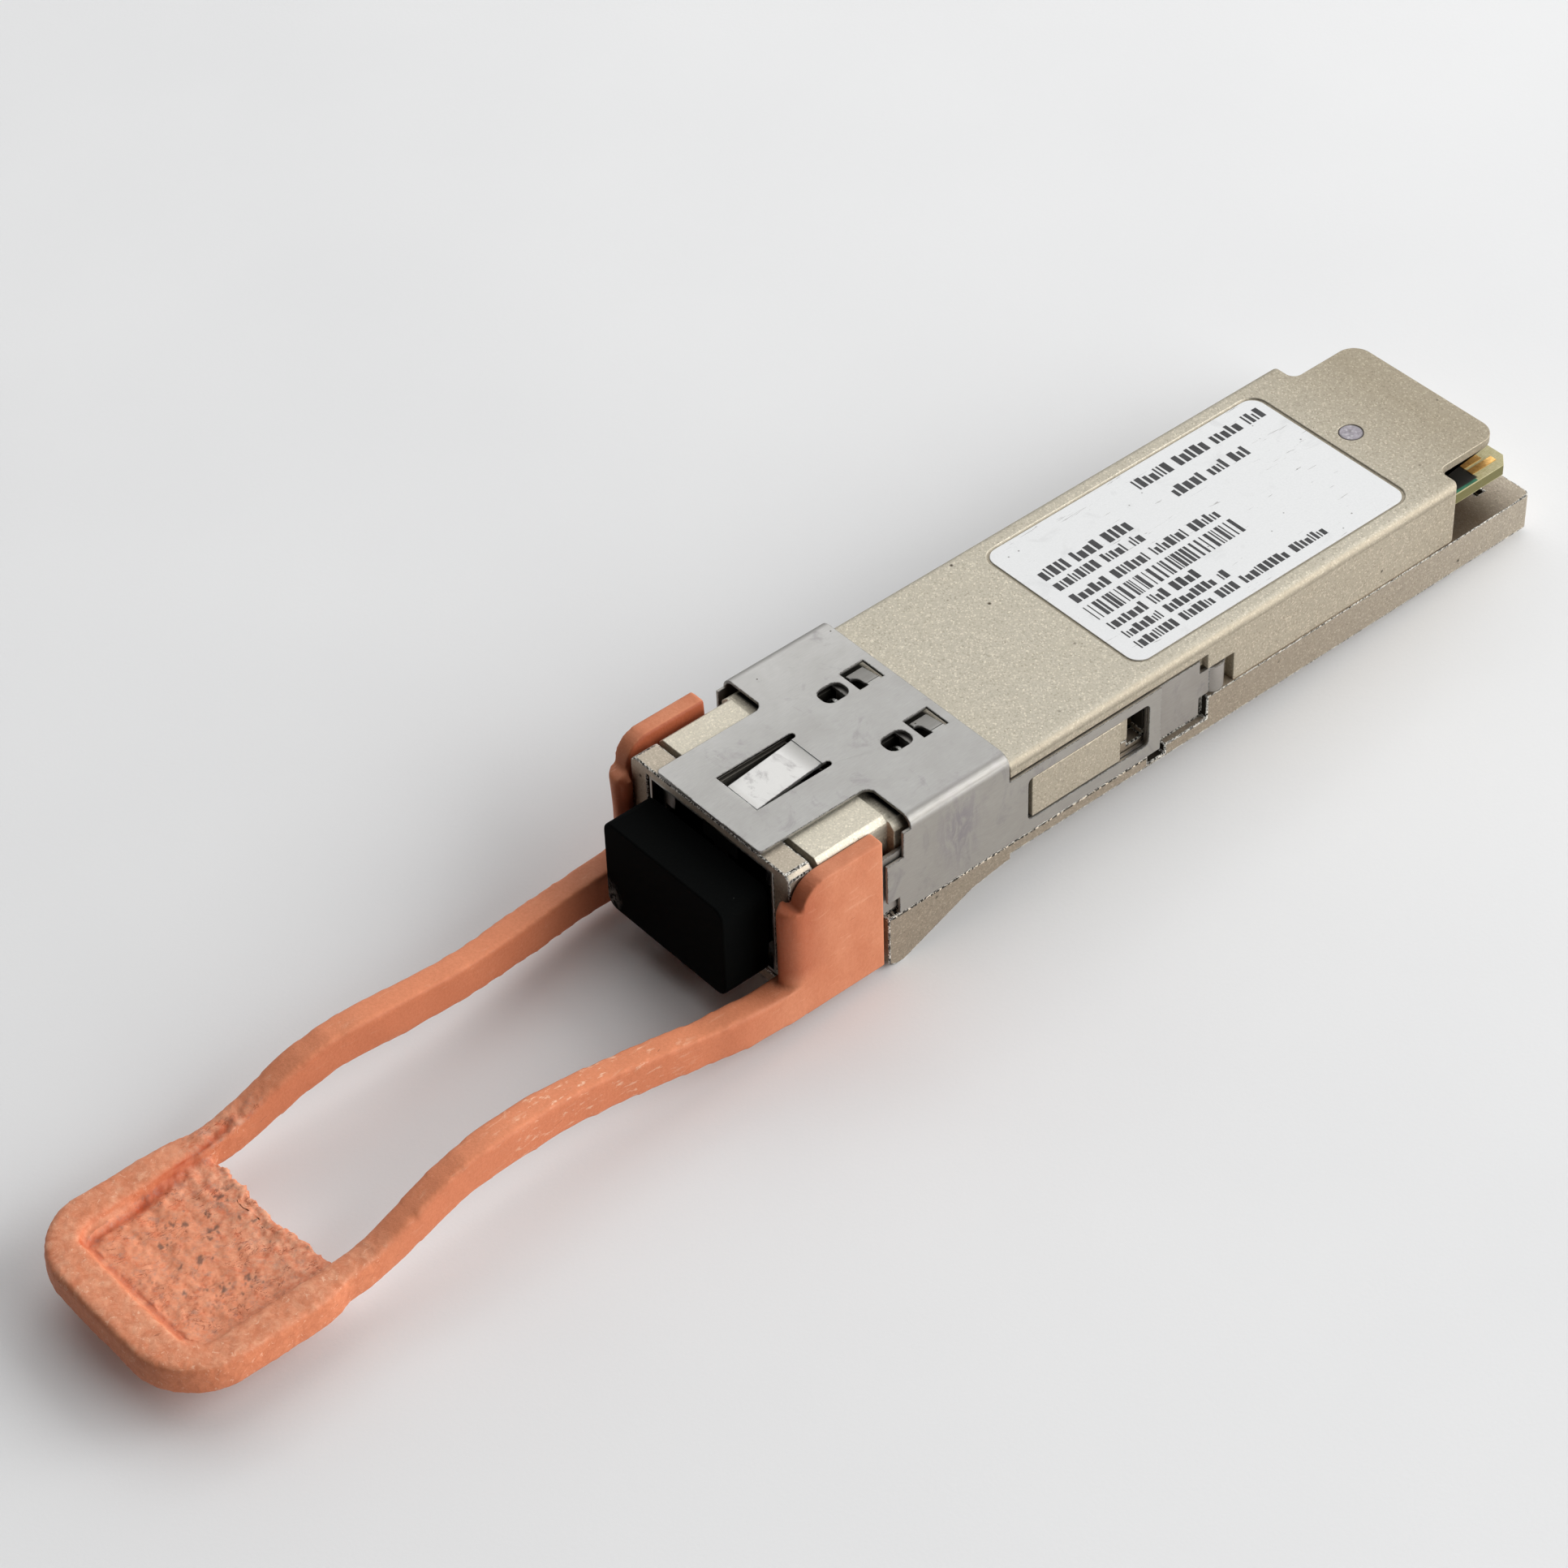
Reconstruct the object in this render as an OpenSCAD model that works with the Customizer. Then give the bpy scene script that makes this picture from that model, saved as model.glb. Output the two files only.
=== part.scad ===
// Pluggable optical transceiver module with a duplex fibre port, a sprung side
// latch worked by a soft pull tab, and a dust plug in the port.
// Millimetres, +X towards the pull tab, +Z up out of the label face.
// The origin is the middle of the flat heat sink face on the underside.
// Positions along the body are counted from its rear end.

/* [View] */
// Sub-part to draw, or all of them

/* [Housing] */
// Width of the body
body_w = 18.35; // [18.30:0.01:18.40]
// Height from the heat sink face to the label face
body_h = 8.5; // [8.4:0.05:8.6]
// Rear end to the front of the wide lower flange
flange_x = 60.8; // [60.6:0.1:61.0]
// Rear end to the front of the nose
nose_x = 68; // [67.8:0.1:68.2]
// Half width of the nose between the pads of the pull tab
nose_half_w = 7.9; // [7.8:0.05:7.9]
// Height of the nose top above the heat sink face
nose_top = 9.05; // [8.95:0.05:9.05]
// How far the nose reaches below the heat sink face
nose_drop = 2.9; // [2.4:0.1:3.1]
// Height of the seam between the shells in the rear half
seam_z = 3.5; // [3.3:0.1:3.6]
// Height of the lower flange beside the latch
flange_z = 1.55; // [1.4:0.05:1.6]
// Thickness of the floor under the board
floor_t = 1.2; // [1.0:0.1:1.3]
// Chamfer along the heat sink face
edge_c = 0.5; // [0.3:0.1:0.6]

/* [Label cover] */
// Rear end of the body to the rear end of the cover
cover_x = 7.7; // [7.5:0.1:8.0]
// Rear end of the body to the tip of the tongue over the card
tongue_x = 1.5; // [1.3:0.1:1.9]
// Half width of the tongue over the card
tongue_half_w = 7.0; // [6.6:0.1:7.0]
// Thickness of the cover plate
plate_t = 1.2; // [1.0:0.1:1.3]
// Thickness of the tongue over the card
tongue_t = 0.7; // [0.6:0.1:0.9]
// Front end of the label pocket
label_front = 37.4; // [36:0.2:37.4]
// Rear end of the label pocket
label_rear = 11.0; // [11:0.2:12]
// Half width of the label pocket
label_half_w = 7.77; // [7.4:0.05:7.8]
// Depth of the label pocket
label_deep = 0.14; // [0.12:0.01:0.2]
// Centre of the tamper seal over the cover screw
screw_x = 9.1; // [9.0:0.1:9.3]

/* [Sleeve] */
// Sheet thickness of the sleeve
sleeve_t = 0.25; // [0.2:0.01:0.28]
// Height of the outer face of the sleeve
sleeve_top = 9.45; // [9.45:0.01:9.5]
// Half width over the sleeve
sleeve_half_w = 9.3; // [9.3:0.01:9.35]
// Rear edge of the sleeve top
sleeve_x = 50.3; // [50.2:0.1:50.5]
// Front edge of the wide part of the sleeve
sleeve_front = 58.9; // [58.7:0.1:59.0]
// Half width of the sleeve tongue over the nose
lip_half_w = 5.2; // [5.0:0.1:5.3]
// Rear edge of the side strips
strip_x = 36.5; // [36.4:0.1:36.8]

/* [Latch] */
// Travel of the latch when the tab is pulled
latch_travel = 2.5; // [1.5:0.1:2.5]
// Sheet thickness of the latch slider
slider_t = 0.3; // [0.26:0.01:0.3]
// Side spacing of the two latch springs
spring_pitch = 6.3; // [6.2:0.05:6.4]
// Outside diameter of a latch spring
spring_d = 1.7; // [1.5:0.1:1.7]
// Diameter of the spring wire
wire_d = 0.26; // [0.2:0.01:0.28]

/* [Fibre port] */
// Spacing of the two fibre ports
port_pitch = 6.25; // [6.25:0.01:6.26]
// Height of the fibre axes above the heat sink face
fibre_z = 3.3; // [3.2:0.05:3.4]
// Radius of the ferrule bores
ferrule_r = 0.627; // [0.626:0.001:0.63]
// Mouth of the ferrule bores
bore_mouth = 62.5; // [62.3:0.1:62.6]

/* [Card] */
// Thickness of the circuit board
board_t = 0.9; // [0.8:0.05:1.0]
// Top face of the circuit board
board_top = 6.6; // [6.5:0.05:6.6]
// Half width of the card edge
card_half_w = 8.2; // [8.15:0.05:8.2]
// Contacts in one row of the card edge
contact_count = 19; // [19:1:19]
// Spacing of the card contacts
contact_pitch = 0.8; // [0.8:0.01:0.8]

/* [Pull tab] */
// Rear end of the body to the front of the tab loop
tab_x = 117.4; // [112:0.2:120]
// Thickness of the tab arms across the body
arm_w = 2.0; // [1.6:0.1:2.0]
// Height of the tab arms
arm_h = 2.8; // [2.2:0.1:3.0]
// Half width over the tab loop
loop_half_w = 8.8; // [8.6:0.1:9.2]
// Underside of the loop, from the heat sink face
loop_low = -3.0; // [-3.1:0.1:-2.6]

/* [Dust plug] */
// Half width of the plug handle
plug_half_w = 6.0; // [5.6:0.1:6.0]
// Height of the plug handle
plug_h = 7.6; // [7.0:0.1:7.6]
// Front face of the plug handle
plug_x = 72; // [71.4:0.1:72.2]

/* [Hidden] */
$fn = 48;
datum_x = 27;
half_w = body_w / 2;
cover_half_w = half_w - 0.08;
wall_in = 8.0;
shelf_x = 7.4;
neck_half_w = 8.55;
neck_in = 7.4;
neck_x = 32;
bay_half_w = 6.7;
deep_x = 58.2;
rest_x = 36.5;
rest_y = 6.6;
rest_r = 0.75;
post_r = 1.5;
gasket_rear = 9;
gasket_front = 29;
slot_front = 38.9;
bay_floor = -1.3;
optics_floor = 0.95;
bay_x = 50;
port_half_w = 6.25;
port_low = -1.0;
port_high = 8.4;
port_wall_x = 66;
cover_end = 65.6;
step_x = 50.9;
spring_deck = 8.75;
channel_x = 53.4;
channel_r = 0.95;
recess_front = 53.1;
recess_half = 1.15;
tip_pocket_x = 29.5;
tip_pocket_top = 5.95;
bent_window_rear = 59.9;
bent_window_front = 65.35;
sleeve_end = 60.95;
lip_front = 68.05;
raised_x = 59.7;
skirt_z = 7.25;
cavity_top = body_h - plate_t;
sleeve_low = flange_z + 0.1;
window_rear = 37.6;
window_front = 48.6;
boss_rear = 40.2;
boss_front = 48.2;
boss_low = 2.8;
boss_high = 6.2;
board_low = board_top - board_t;
board_end = 41;
stub_end = 57.4;
stub_r = 0.4;
slider_out = sleeve_half_w - sleeve_t - 0.1;
slider_top = sleeve_top - sleeve_t - 0.1;
slider_in = slider_out - slider_t;
bridge_rear = 53;
bridge_front = 57;
spring_rear = 54.05;
spring_front = 58.6;
spring_z = 7.82;
pad_x = 61.25;
pad_front = 69.3;
pad_low = -2.2;
pad_top = 8.9;
lip_in = 7.5;
lip_top = 7.05;
crest_x = 93;
loop_x = 104;
plug_low = fibre_z - plug_h / 2;
post_hollow = 1.6;
big = 40;
eps = 0.01;

// ---------- helpers ----------

// Moves children from rear-end positions to the origin on the heat sink face.
module from_rear() {
  translate([-datum_x, 0, 0]) children();
}

// Block between two positions along X, with a half width, between two heights.
module bar(x0, x1, half, z0, z1) {
  translate([x0, -half, z0]) cube([x1 - x0, 2 * half, z1 - z0]);
}

// Block between two corners.
module block(a, b) {
  translate(a) cube([b[0] - a[0], b[1] - a[1], b[2] - a[2]]);
}

// Children on both sides of the body.
module both_sides() {
  children();
  mirror([0, 1, 0]) children();
}

// Flat rectangle with rounded corners.
module rounded(x0, x1, y0, y1, r) {
  translate([x0 + r, y0]) square([x1 - x0 - 2 * r, y1 - y0]);
  translate([x0, y0 + r]) square([x1 - x0, y1 - y0 - 2 * r]);
  for (x = [x0 + r, x1 - r], y = [y0 + r, y1 - r])
    translate([x, y]) circle(r);
}

// Cross-section across the body, drawn as y and z, pushed along X.
module along_x(x0, x1) {
  translate([x0, 0, 0]) rotate([90, 0, 90]) linear_extrude(x1 - x0) children();
}

// Side view, drawn as x and z, pushed across the body.
module across(y0, y1) {
  translate([0, y1, 0]) rotate([90, 0, 0]) linear_extrude(y1 - y0) children();
}

// Cylinder along X.
module rod(x0, x1, y, z, r) {
  translate([x0, y, z]) rotate([0, 90, 0]) cylinder(h = x1 - x0, r = r);
}

// Chamfer cut along an edge that runs along X, at the top (up 1) or bottom (up -1) of a side.
module edge_cut(x0, x1, y, z, c, up) {
  along_x(x0, x1) polygon([[y - c - 1, z + up], [y + 1, z - up * (c + 1)], [y + 1, z + up]]);
}

// Rounding cut along a vertical edge at the rear end of one side.
module corner_cut(x, y, r) {
  translate([x, y, -big]) linear_extrude(2 * big) difference() {
    translate([-1, -r]) square([r + 1, r + 1]);
    translate([r, -r]) circle(r);
  }
}

function smooth(t) = t < 0 ? 0 : t > 1 ? 1 : t * t * (3 - 2 * t);

// ---------- housing ----------

// Outside of the lower shell seen from the side, up to its flange.
module flange_profile() {
  polygon([[0, 0.4], [1.2, 0], [50.5, 0], [53.4, -0.45], [59.5, -nose_drop],
    [60.2, -nose_drop], [flange_x, 0.3 - nose_drop], [flange_x, flange_z], [0, flange_z]]);
}

module base_shell() {
  from_rear() color([0.62, 0.60, 0.56]) difference() {
    union() {
      across(-half_w, half_w) flange_profile();
      bar(0, neck_x, half_w, flange_z - 1, seam_z);
      bar(neck_x - 1, flange_x, neck_half_w, flange_z - 1, seam_z);
      bar(flange_x - 1, nose_x, nose_half_w, 0.4 - nose_drop, seam_z);
      bar(port_wall_x, nose_x, nose_half_w, seam_z - 1, nose_top);
    }
    // board bay and optics bay
    bar(shelf_x, neck_x - 1, wall_in, floor_t, big);
    bar(neck_x - 2, bay_x + 1, neck_in, floor_t, big);
    bar(bay_x, port_wall_x, bay_half_w, optics_floor, big);
    bar(deep_x, port_wall_x, bay_half_w, bay_floor, big);
    bar(port_wall_x - 1, nose_x + 1, port_half_w, port_low, port_high);
    // round rear corners and chamfers along the heat sink face
    both_sides() {
      corner_cut(0, half_w, 0.5);
      // keying notch in the shelf under the card
      block([2.3, 5.9, seam_z - 0.7], [3.05, 6.8, seam_z + 1]);
      edge_cut(-1, 50, half_w, 0, edge_c, -1);
      edge_cut(flange_x, nose_x + 1, nose_half_w, 0.4 - nose_drop, 0.4, -1);
      edge_cut(port_wall_x - 1, nose_x + 1, nose_half_w, nose_top, 0.4, 1);
      // notch under the rear end of the side strip
      block([35.9, neck_half_w - 0.6, 0.8], [37.5, half_w + 1, flange_z + 1]);
      // slot through the wall behind the boss
      block([window_rear - 0.1, neck_in - 1, 3.0], [slot_front, big, big]);
      // groove for the seam gasket
      block([gasket_rear, 8.4, seam_z - 0.25], [gasket_front, 8.8, seam_z + 1]);
    }
    across(-half_w, half_w)
      polygon([[nose_x - 1.5, -0.6 - nose_drop], [nose_x + 1, 1.9 - nose_drop],
        [nose_x + 1, -0.6 - nose_drop]]);
  }
  from_rear() color([0.62, 0.60, 0.56]) difference() {
    union() {
      // post for the cover screw, rests for the board and heat sink pedestal
      translate([screw_x, 0, floor_t - 0.5]) cylinder(h = board_low - floor_t + 0.5, r = post_r);
      for (y = [-rest_y, rest_y]) translate([rest_x, y, floor_t - 0.5])
        cylinder(h = board_low - floor_t + 0.5, r = rest_r);
      bar(15, 34, 5.2, floor_t - 0.5, 3.6);
    }
    translate([screw_x, 0, floor_t]) cylinder(h = big, r = 0.5);
  }
}

// Outer cross-section of the cover plate and its skirts.
module cover_section() {
  r = 0.65;
  translate([-cover_half_w, seam_z]) square([2 * cover_half_w, body_h - seam_z - r]);
  translate([-cover_half_w + r, seam_z]) square([2 * (cover_half_w - r), body_h - seam_z]);
  for (y = [-cover_half_w + r, cover_half_w - r]) translate([y, body_h - r]) circle(r);
}

// Round-ended channel for one latch spring.
module spring_channel() {
  y = spring_pitch / 2;
  rod(channel_x, spring_front + 0.05, y, spring_z, channel_r);
  block([channel_x, y - channel_r, spring_z], [spring_front + 0.05, y + channel_r, big]);
}

module label_cover() {
  root_r = 0.75;
  from_rear() color([0.70, 0.68, 0.63]) difference() {
    union() {
      along_x(cover_x, step_x) cover_section();
      // tongue over the card, with round corners and a fillet at each side of its root
      translate([0, 0, cavity_top]) linear_extrude(plate_t) {
        rounded(tongue_x, cover_x + 3, -tongue_half_w, tongue_half_w, 1.5);
        for (s = [-1, 1]) difference() {
          translate([cover_x - root_r, s * tongue_half_w - root_r]) square([root_r + 0.5, 2 * root_r]);
          translate([cover_x - root_r, s * (tongue_half_w + root_r)]) circle(root_r);
        }
      }
      bar(step_x - 1, raised_x, neck_half_w, seam_z, spring_deck);
      bar(raised_x - 1, cover_end, nose_half_w, seam_z, nose_top);
      // bosses that the sleeve snaps over
      both_sides() {
        block([boss_rear, neck_half_w - 1, seam_z], [boss_front, sleeve_half_w - 0.05, boss_high]);
        block([boss_rear, neck_half_w + 0.04, boss_low], [boss_front, sleeve_half_w - 0.05, seam_z + 1]);
        block([slot_front, neck_half_w - 1, seam_z], [boss_rear, neck_half_w + 0.04, boss_high]);
      }
    }
    // inside
    bar(cover_x - 9, neck_x - 1, wall_in, -big, cavity_top);
    bar(cover_x - 9, cover_x - 0.8, big, -big, body_h - tongue_t);
    bar(neck_x - 2, bay_x + 1, neck_in, -big, cavity_top);
    bar(bay_x, raised_x, bay_half_w, -big, 6.6);
    bar(raised_x - 1, cover_end + 1, port_half_w, -big, port_high);
    both_sides() {
      corner_cut(cover_x, cover_half_w, 0.5);
      // slot through the wall behind the boss
      block([window_rear - 0.1, neck_in - 1, -1], [slot_front, big, boss_high - 0.2]);
      // channel for the latch arm under the skirt
      block([neck_x, neck_half_w, -1], [boss_rear, big, skirt_z]);
      block([boss_front, neck_half_w, -1], [step_x + 1, big, skirt_z]);
      block([boss_rear - 1, neck_half_w, boss_high], [boss_front + 1, big, skirt_z]);
      block([boss_rear - 1, neck_half_w, -1], [boss_front + 1, big, boss_low]);
      // pocket for the curled tip of the latch arm
      block([tip_pocket_x, 8.3, seam_z - 1], [neck_x + 1, big, tip_pocket_top]);
      // room under the bend of the latch slider
      edge_cut(step_x, raised_x, neck_half_w, spring_deck, 0.5, 1);
      edge_cut(raised_x, cover_end + 1, nose_half_w, nose_top, 0.4, 1);
      spring_channel();
      // recess under each louvre of the sleeve
      block([step_x + 0.1, spring_pitch / 2 - recess_half, spring_deck - 1.1],
        [recess_front, spring_pitch / 2 + recess_half, big]);
      // front face of the skirt, clear of the sleeve
      block([sleeve_x - 0.25, neck_half_w, -1], [step_x + 1, big, body_h + 1]);
    }
    // nothing hangs in the deck area before the raised nose top
    bar(sleeve_x + 0.1, raised_x, neck_half_w + 1, spring_deck, big);
    // pocket for the label
    translate([0, 0, body_h - label_deep]) linear_extrude(1)
      rounded(label_rear, label_front, -label_half_w, label_half_w, 1.3);
    // cover screw and its seal
    translate([screw_x, 0, body_h - 0.9]) cylinder(h = 2, r = 0.9);
    translate([screw_x, 0, 0]) cylinder(h = big, r = 0.6);
    // window for the bent tongue of the sleeve
    bar(bent_window_rear, bent_window_front, 1.9, 8, big);
  }
}

module product_label() {
  from_rear() color([0.94, 0.94, 0.92])
    translate([0, 0, body_h - label_deep]) linear_extrude(label_deep - 0.04)
      rounded(label_rear + 0.25, label_front - 0.25, -label_half_w + 0.2, label_half_w - 0.2, 1.1);
}

module cover_screw() {
  from_rear() color([0.55, 0.55, 0.56]) translate([screw_x, 0, 0]) difference() {
    union() {
      translate([0, 0, body_h - 0.9]) cylinder(h = 0.5, r = 0.85);
      translate([0, 0, 2]) cylinder(h = body_h - 0.9 - 2 + eps, r = 0.48);
    }
    translate([0, 0, body_h - 0.65]) cylinder(h = 1, r = 0.4, $fn = 6);
  }
}

module screw_seal() {
  from_rear() color([0.60, 0.57, 0.62])
    translate([screw_x, 0, body_h - 0.4]) cylinder(h = 0.37, r = 0.88);
}

module seam_gaskets() {
  from_rear() color([0.35, 0.35, 0.36]) both_sides()
    block([gasket_rear + 0.1, 8.45, seam_z - 0.25], [gasket_front - 0.1, 8.75, seam_z]);
}

// ---------- sleeve ----------

// Rounded cross-section of the sleeve, open at the bottom.
module sleeve_section(half, top, r) {
  translate([-half, -1]) square([2 * half, top + 1 - r]);
  translate([-half + r, -1]) square([2 * (half - r), top + 1]);
  for (y = [-half + r, half - r]) translate([y, top - r]) circle(r);
}

module emi_sleeve() {
  bend = 0.9;
  louvre_x = 51.0;
  tongue_slot = 2.05;
  bent_half = 1.5;
  tip_r = 0.25;
  bend_x = 59.6;
  in_half = sleeve_half_w - sleeve_t;
  in_top = sleeve_top - sleeve_t;
  from_rear() color([0.72, 0.72, 0.72]) difference() {
    union() {
      difference() {
        along_x(strip_x, sleeve_end) sleeve_section(sleeve_half_w, sleeve_top, bend);
        along_x(strip_x - 1, sleeve_end + 1) sleeve_section(in_half, in_top, bend - sleeve_t);
        // lower edge along the flange
        bar(strip_x - 1, sleeve_end + 1, big, -big, sleeve_low);
        // everything above the side strips behind the sleeve top
        bar(strip_x - 1, sleeve_x, big, skirt_z - 0.1, big);
        // stepped front edge
        bar(sleeve_front, sleeve_end + 1, big, 8.55, big);
        bar(sleeve_front + 0.65, sleeve_end + 1, big, 6.4, big);
        both_sides() {
          // side window and lower front notch
          across(8, 10) rounded(window_rear, window_front, 2.7, 6.3, 0.4);
          block([sleeve_front + 1, 8, 1], [sleeve_end + 1, 10, 3.1]);
        }
      }
      // tongue over the nose
      translate([0, 0, in_top]) linear_extrude(sleeve_t) {
        rounded(sleeve_front - 2, lip_front, -lip_half_w, lip_half_w, 0.35);
        for (s = [-1, 1]) difference() {
          translate([sleeve_front - 0.1, s * lip_half_w - 0.5]) square([0.8, 1]);
          translate([sleeve_front + 0.7, s * (lip_half_w + 0.7)]) circle(0.7);
        }
      }
    }
    // slot round the bent tongue, with round tips
    translate([0, 0, 8]) linear_extrude(3) {
      translate([bend_x + 0.05, -tongue_slot]) square([65.55 - bend_x, 2 * tongue_slot]);
      for (s = [-1, 1]) {
        translate([59.4, s * (tongue_slot - tip_r)]) circle(tip_r);
        translate([59.4, s * (tongue_slot - tip_r) - tip_r]) square([0.5, 2 * tip_r]);
      }
    }
    for (s = [-1, 1]) translate([0, s * spring_pitch / 2, 8]) linear_extrude(3) {
      // spring window
      rounded(53.6, 55.65, -0.8, 0.8, 0.65);
      // corner louvre
      translate([louvre_x, -1.12]) square([2.1, 2.12]);
    }
  }
  from_rear() color([0.72, 0.72, 0.72]) {
    // tongue bent down into its window
    difference() {
      translate([bend_x, -bent_half, in_top + sleeve_t]) rotate([0, 6.9, 0])
        translate([-0.4, 0, -sleeve_t]) cube([6.0, 2 * bent_half, sleeve_t]);
      bar(58, 67, 5, sleeve_top, big);
    }
    // louvres: each hangs from one side, lowest along the opposite side
    for (s = [-1, 1]) translate([louvre_x, s * spring_pitch / 2 + 1.0, in_top]) {
      rotate([9, 0, 0]) difference() {
        translate([0.26, -1.85, 0]) cube([1.5, 1.85, sleeve_t]);
        translate([0, 0, -1]) linear_extrude(3) rounded(1.38, 4, -1.45, 2, 0.55);
      }
      translate([0.26, -0.2, -0.02]) cube([1.12, 0.25, sleeve_t + 0.02]);
    }
  }
}

// ---------- latch ----------

// Flat blank of one latch arm seen from the side, as x and z.
module arm_blank() {
  difference() {
    union() {
      translate([31.5, 3.6]) square([2.4, 2.2]);
      translate([32.6, 2.1]) square([34.2, 4.8]);
      translate([bridge_rear, 6]) square([bridge_front - bridge_rear, 2.4]);
    }
    // window that clears the boss over the whole travel
    translate([boss_rear - latch_travel - 0.2, 2.65])
      square([boss_front - boss_rear + latch_travel + 0.35, 3.7]);
    // holes that key the soft tab to the arm
    translate([64.2, 4.5]) circle(0.7);
    translate([64.2, -0.5]) square([4, 2.2]);
  }
}

module latch_slider() {
  bend = 0.75;
  from_rear() color([0.66, 0.66, 0.66]) {
    both_sides() {
      across(slider_in, slider_out) arm_blank();
      // tip curled in a hump outwards
      translate([31, sleeve_half_w - 1.05, 3.6]) rotate([0, 0, 35])
        rotate_extrude(angle = 115) translate([1 - slider_t, 0]) square([slider_t, 2.2]);
    }
    // bridge under the sleeve with a tab behind each spring
    difference() {
      along_x(bridge_rear, bridge_front) difference() {
        sleeve_section(slider_out, slider_top, bend);
        sleeve_section(slider_in, slider_top - slider_t + 0.05, bend - slider_t);
        translate([-big, -big]) square([2 * big, big + 8]);
      }
      for (s = [-1, 1]) translate([53.95, s * spring_pitch / 2 - 1.15, 8]) cube([big, 2.3, 3]);
    }
    for (s = [-1, 1])
      block([53.7, s * spring_pitch / 2 - 0.5, 7.15], [53.95, s * spring_pitch / 2 + 0.5, 9]);
  }
}

// Coil spring along X between its two seats.
module latch_spring(side) {
  len = spring_front - spring_rear;
  turns = 6;
  out_r = spring_d / 2;
  arc = [-60:40:60];
  from_rear() color([0.78, 0.78, 0.76])
    translate([spring_rear, side * spring_pitch / 2, spring_z]) rotate([0, 90, 0])
      linear_extrude(len, twist = -360 * turns, slices = turns * 10)
        polygon(concat([for (a = arc) out_r * [cos(a), sin(a)]],
          [for (a = arc) (out_r - wire_d) * [cos(a), -sin(a)]]));
}

module latch_spring_left() {
  latch_spring(-1);
}

module latch_spring_right() {
  latch_spring(1);
}

// Underside of the tab at a position along the body.
function tab_low(x) = pad_low + 1.4 * smooth((x - pad_front) / (crest_x - pad_front))
  - (1.4 + pad_low - loop_low) * smooth((x - crest_x) / (loop_x - crest_x));
// Inner face of a tab arm at a position along the body.
function arm_in(x) = 7.3 - 1.55 * smooth((x - 70) / 16) + 0.55 * smooth((x - 86) / 16);

// Wavy band of the arms and loop seen from the side.
module tab_band(steps) {
  start = nose_x - 1;
  xs = [for (i = [0:steps]) start + (tab_x - start) * i / steps];
  polygon(concat([for (x = xs) [x, tab_low(x)]],
    [for (i = [steps:-1:0]) [xs[i], tab_low(xs[i]) + arm_h - 0.4 * smooth((xs[i] - crest_x) / 11)]]));
}

// Plan of one arm.
module arm_plan(steps) {
  start = nose_x + 0.2;
  xs = [for (i = [0:steps]) start + (loop_x + 1 - start) * i / steps];
  polygon(concat([for (x = xs) [x, arm_in(x)]], [for (i = [steps:-1:0]) [xs[i], arm_in(xs[i]) + arm_w]]));
}

// Plan of the loop rim.
module loop_plan() {
  difference() {
    rounded(101.5, tab_x, -loop_half_w, loop_half_w, 5);
    rounded(96, tab_x - 2.8, -loop_half_w + 2.4, loop_half_w - 2.4, 1.6);
    translate([95, -arm_in(loop_x)]) square([8.2, 2 * arm_in(loop_x)]);
  }
}

// Plan of one pad: a flat cheek, a round front corner and a lip over the front of the nose.
module pad_plan() {
  cheek_in = nose_half_w + 0.1;
  r = sleeve_half_w - cheek_in;
  translate([pad_x, cheek_in]) square([pad_front - r - pad_x, r]);
  intersection() {
    translate([pad_front - r, cheek_in]) circle(r);
    translate([pad_front - r - eps, cheek_in - eps]) square(2 * r);
  }
  polygon([[nose_x + 0.15, lip_in], [nose_x + 0.65, lip_in], [pad_front, cheek_in],
    [nose_x + 0.7, cheek_in + 0.3], [nose_x + 0.15, cheek_in + 0.3]]);
}

// One pad that grips the side of the nose and the front end of a latch arm.
module side_pad() {
  top_r = 2.1;
  cheek_front = nose_x + 0.15;
  difference() {
    intersection() {
      across(lip_in - 1, sleeve_half_w) {
        translate([pad_x, pad_low]) square([cheek_front - pad_x - top_r, pad_top - pad_low]);
        translate([pad_x, pad_low]) square([cheek_front - pad_x, pad_top - pad_low - top_r]);
        translate([cheek_front - top_r, pad_top - top_r]) circle(top_r);
        translate([pad_x, pad_low]) square([pad_front - pad_x, lip_top - pad_low - 0.6]);
        translate([pad_x, pad_low]) square([pad_front - 0.6 - pad_x, lip_top - pad_low]);
        translate([pad_front - 0.6, lip_top - 0.6]) circle(0.6);
      }
      translate([0, 0, -10]) linear_extrude(30) pad_plan();
    }
    across(slider_in, slider_out) arm_blank();
  }
}

module pull_tab() {
  from_rear() color([0.86, 0.53, 0.41]) {
    both_sides() {
      side_pad();
      intersection() {
        across(0, big) tab_band(24);
        translate([0, 0, -10]) linear_extrude(30) arm_plan(24);
      }
    }
    intersection() {
      across(-big, big) tab_band(24);
      translate([0, 0, -10]) linear_extrude(30) loop_plan();
    }
    // thin web inside the loop
    translate([0, 0, loop_low + 0.5]) linear_extrude(0.9)
      rounded(103.2, tab_x - 1, -loop_half_w + 1.2, loop_half_w - 1.2, 3.6);
  }
}

// ---------- board ----------

module main_board() {
  from_rear() color([0.16, 0.33, 0.20]) difference() {
    union() {
      translate([0, 0, board_low]) linear_extrude(board_t)
        polygon([[1.3, -7.4], [2.1, -card_half_w], [7.5, -card_half_w], [7.5, -7.9], [31, -7.9],
          [31, -7.3], [board_end, -7.3], [board_end, 7.3], [31, 7.3], [31, 7.9], [7.5, 7.9],
          [7.5, card_half_w], [2.1, card_half_w], [1.3, 7.4]]);
    }
    translate([screw_x, 0, 0]) cylinder(h = big, r = 0.8);
  }
}

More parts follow.
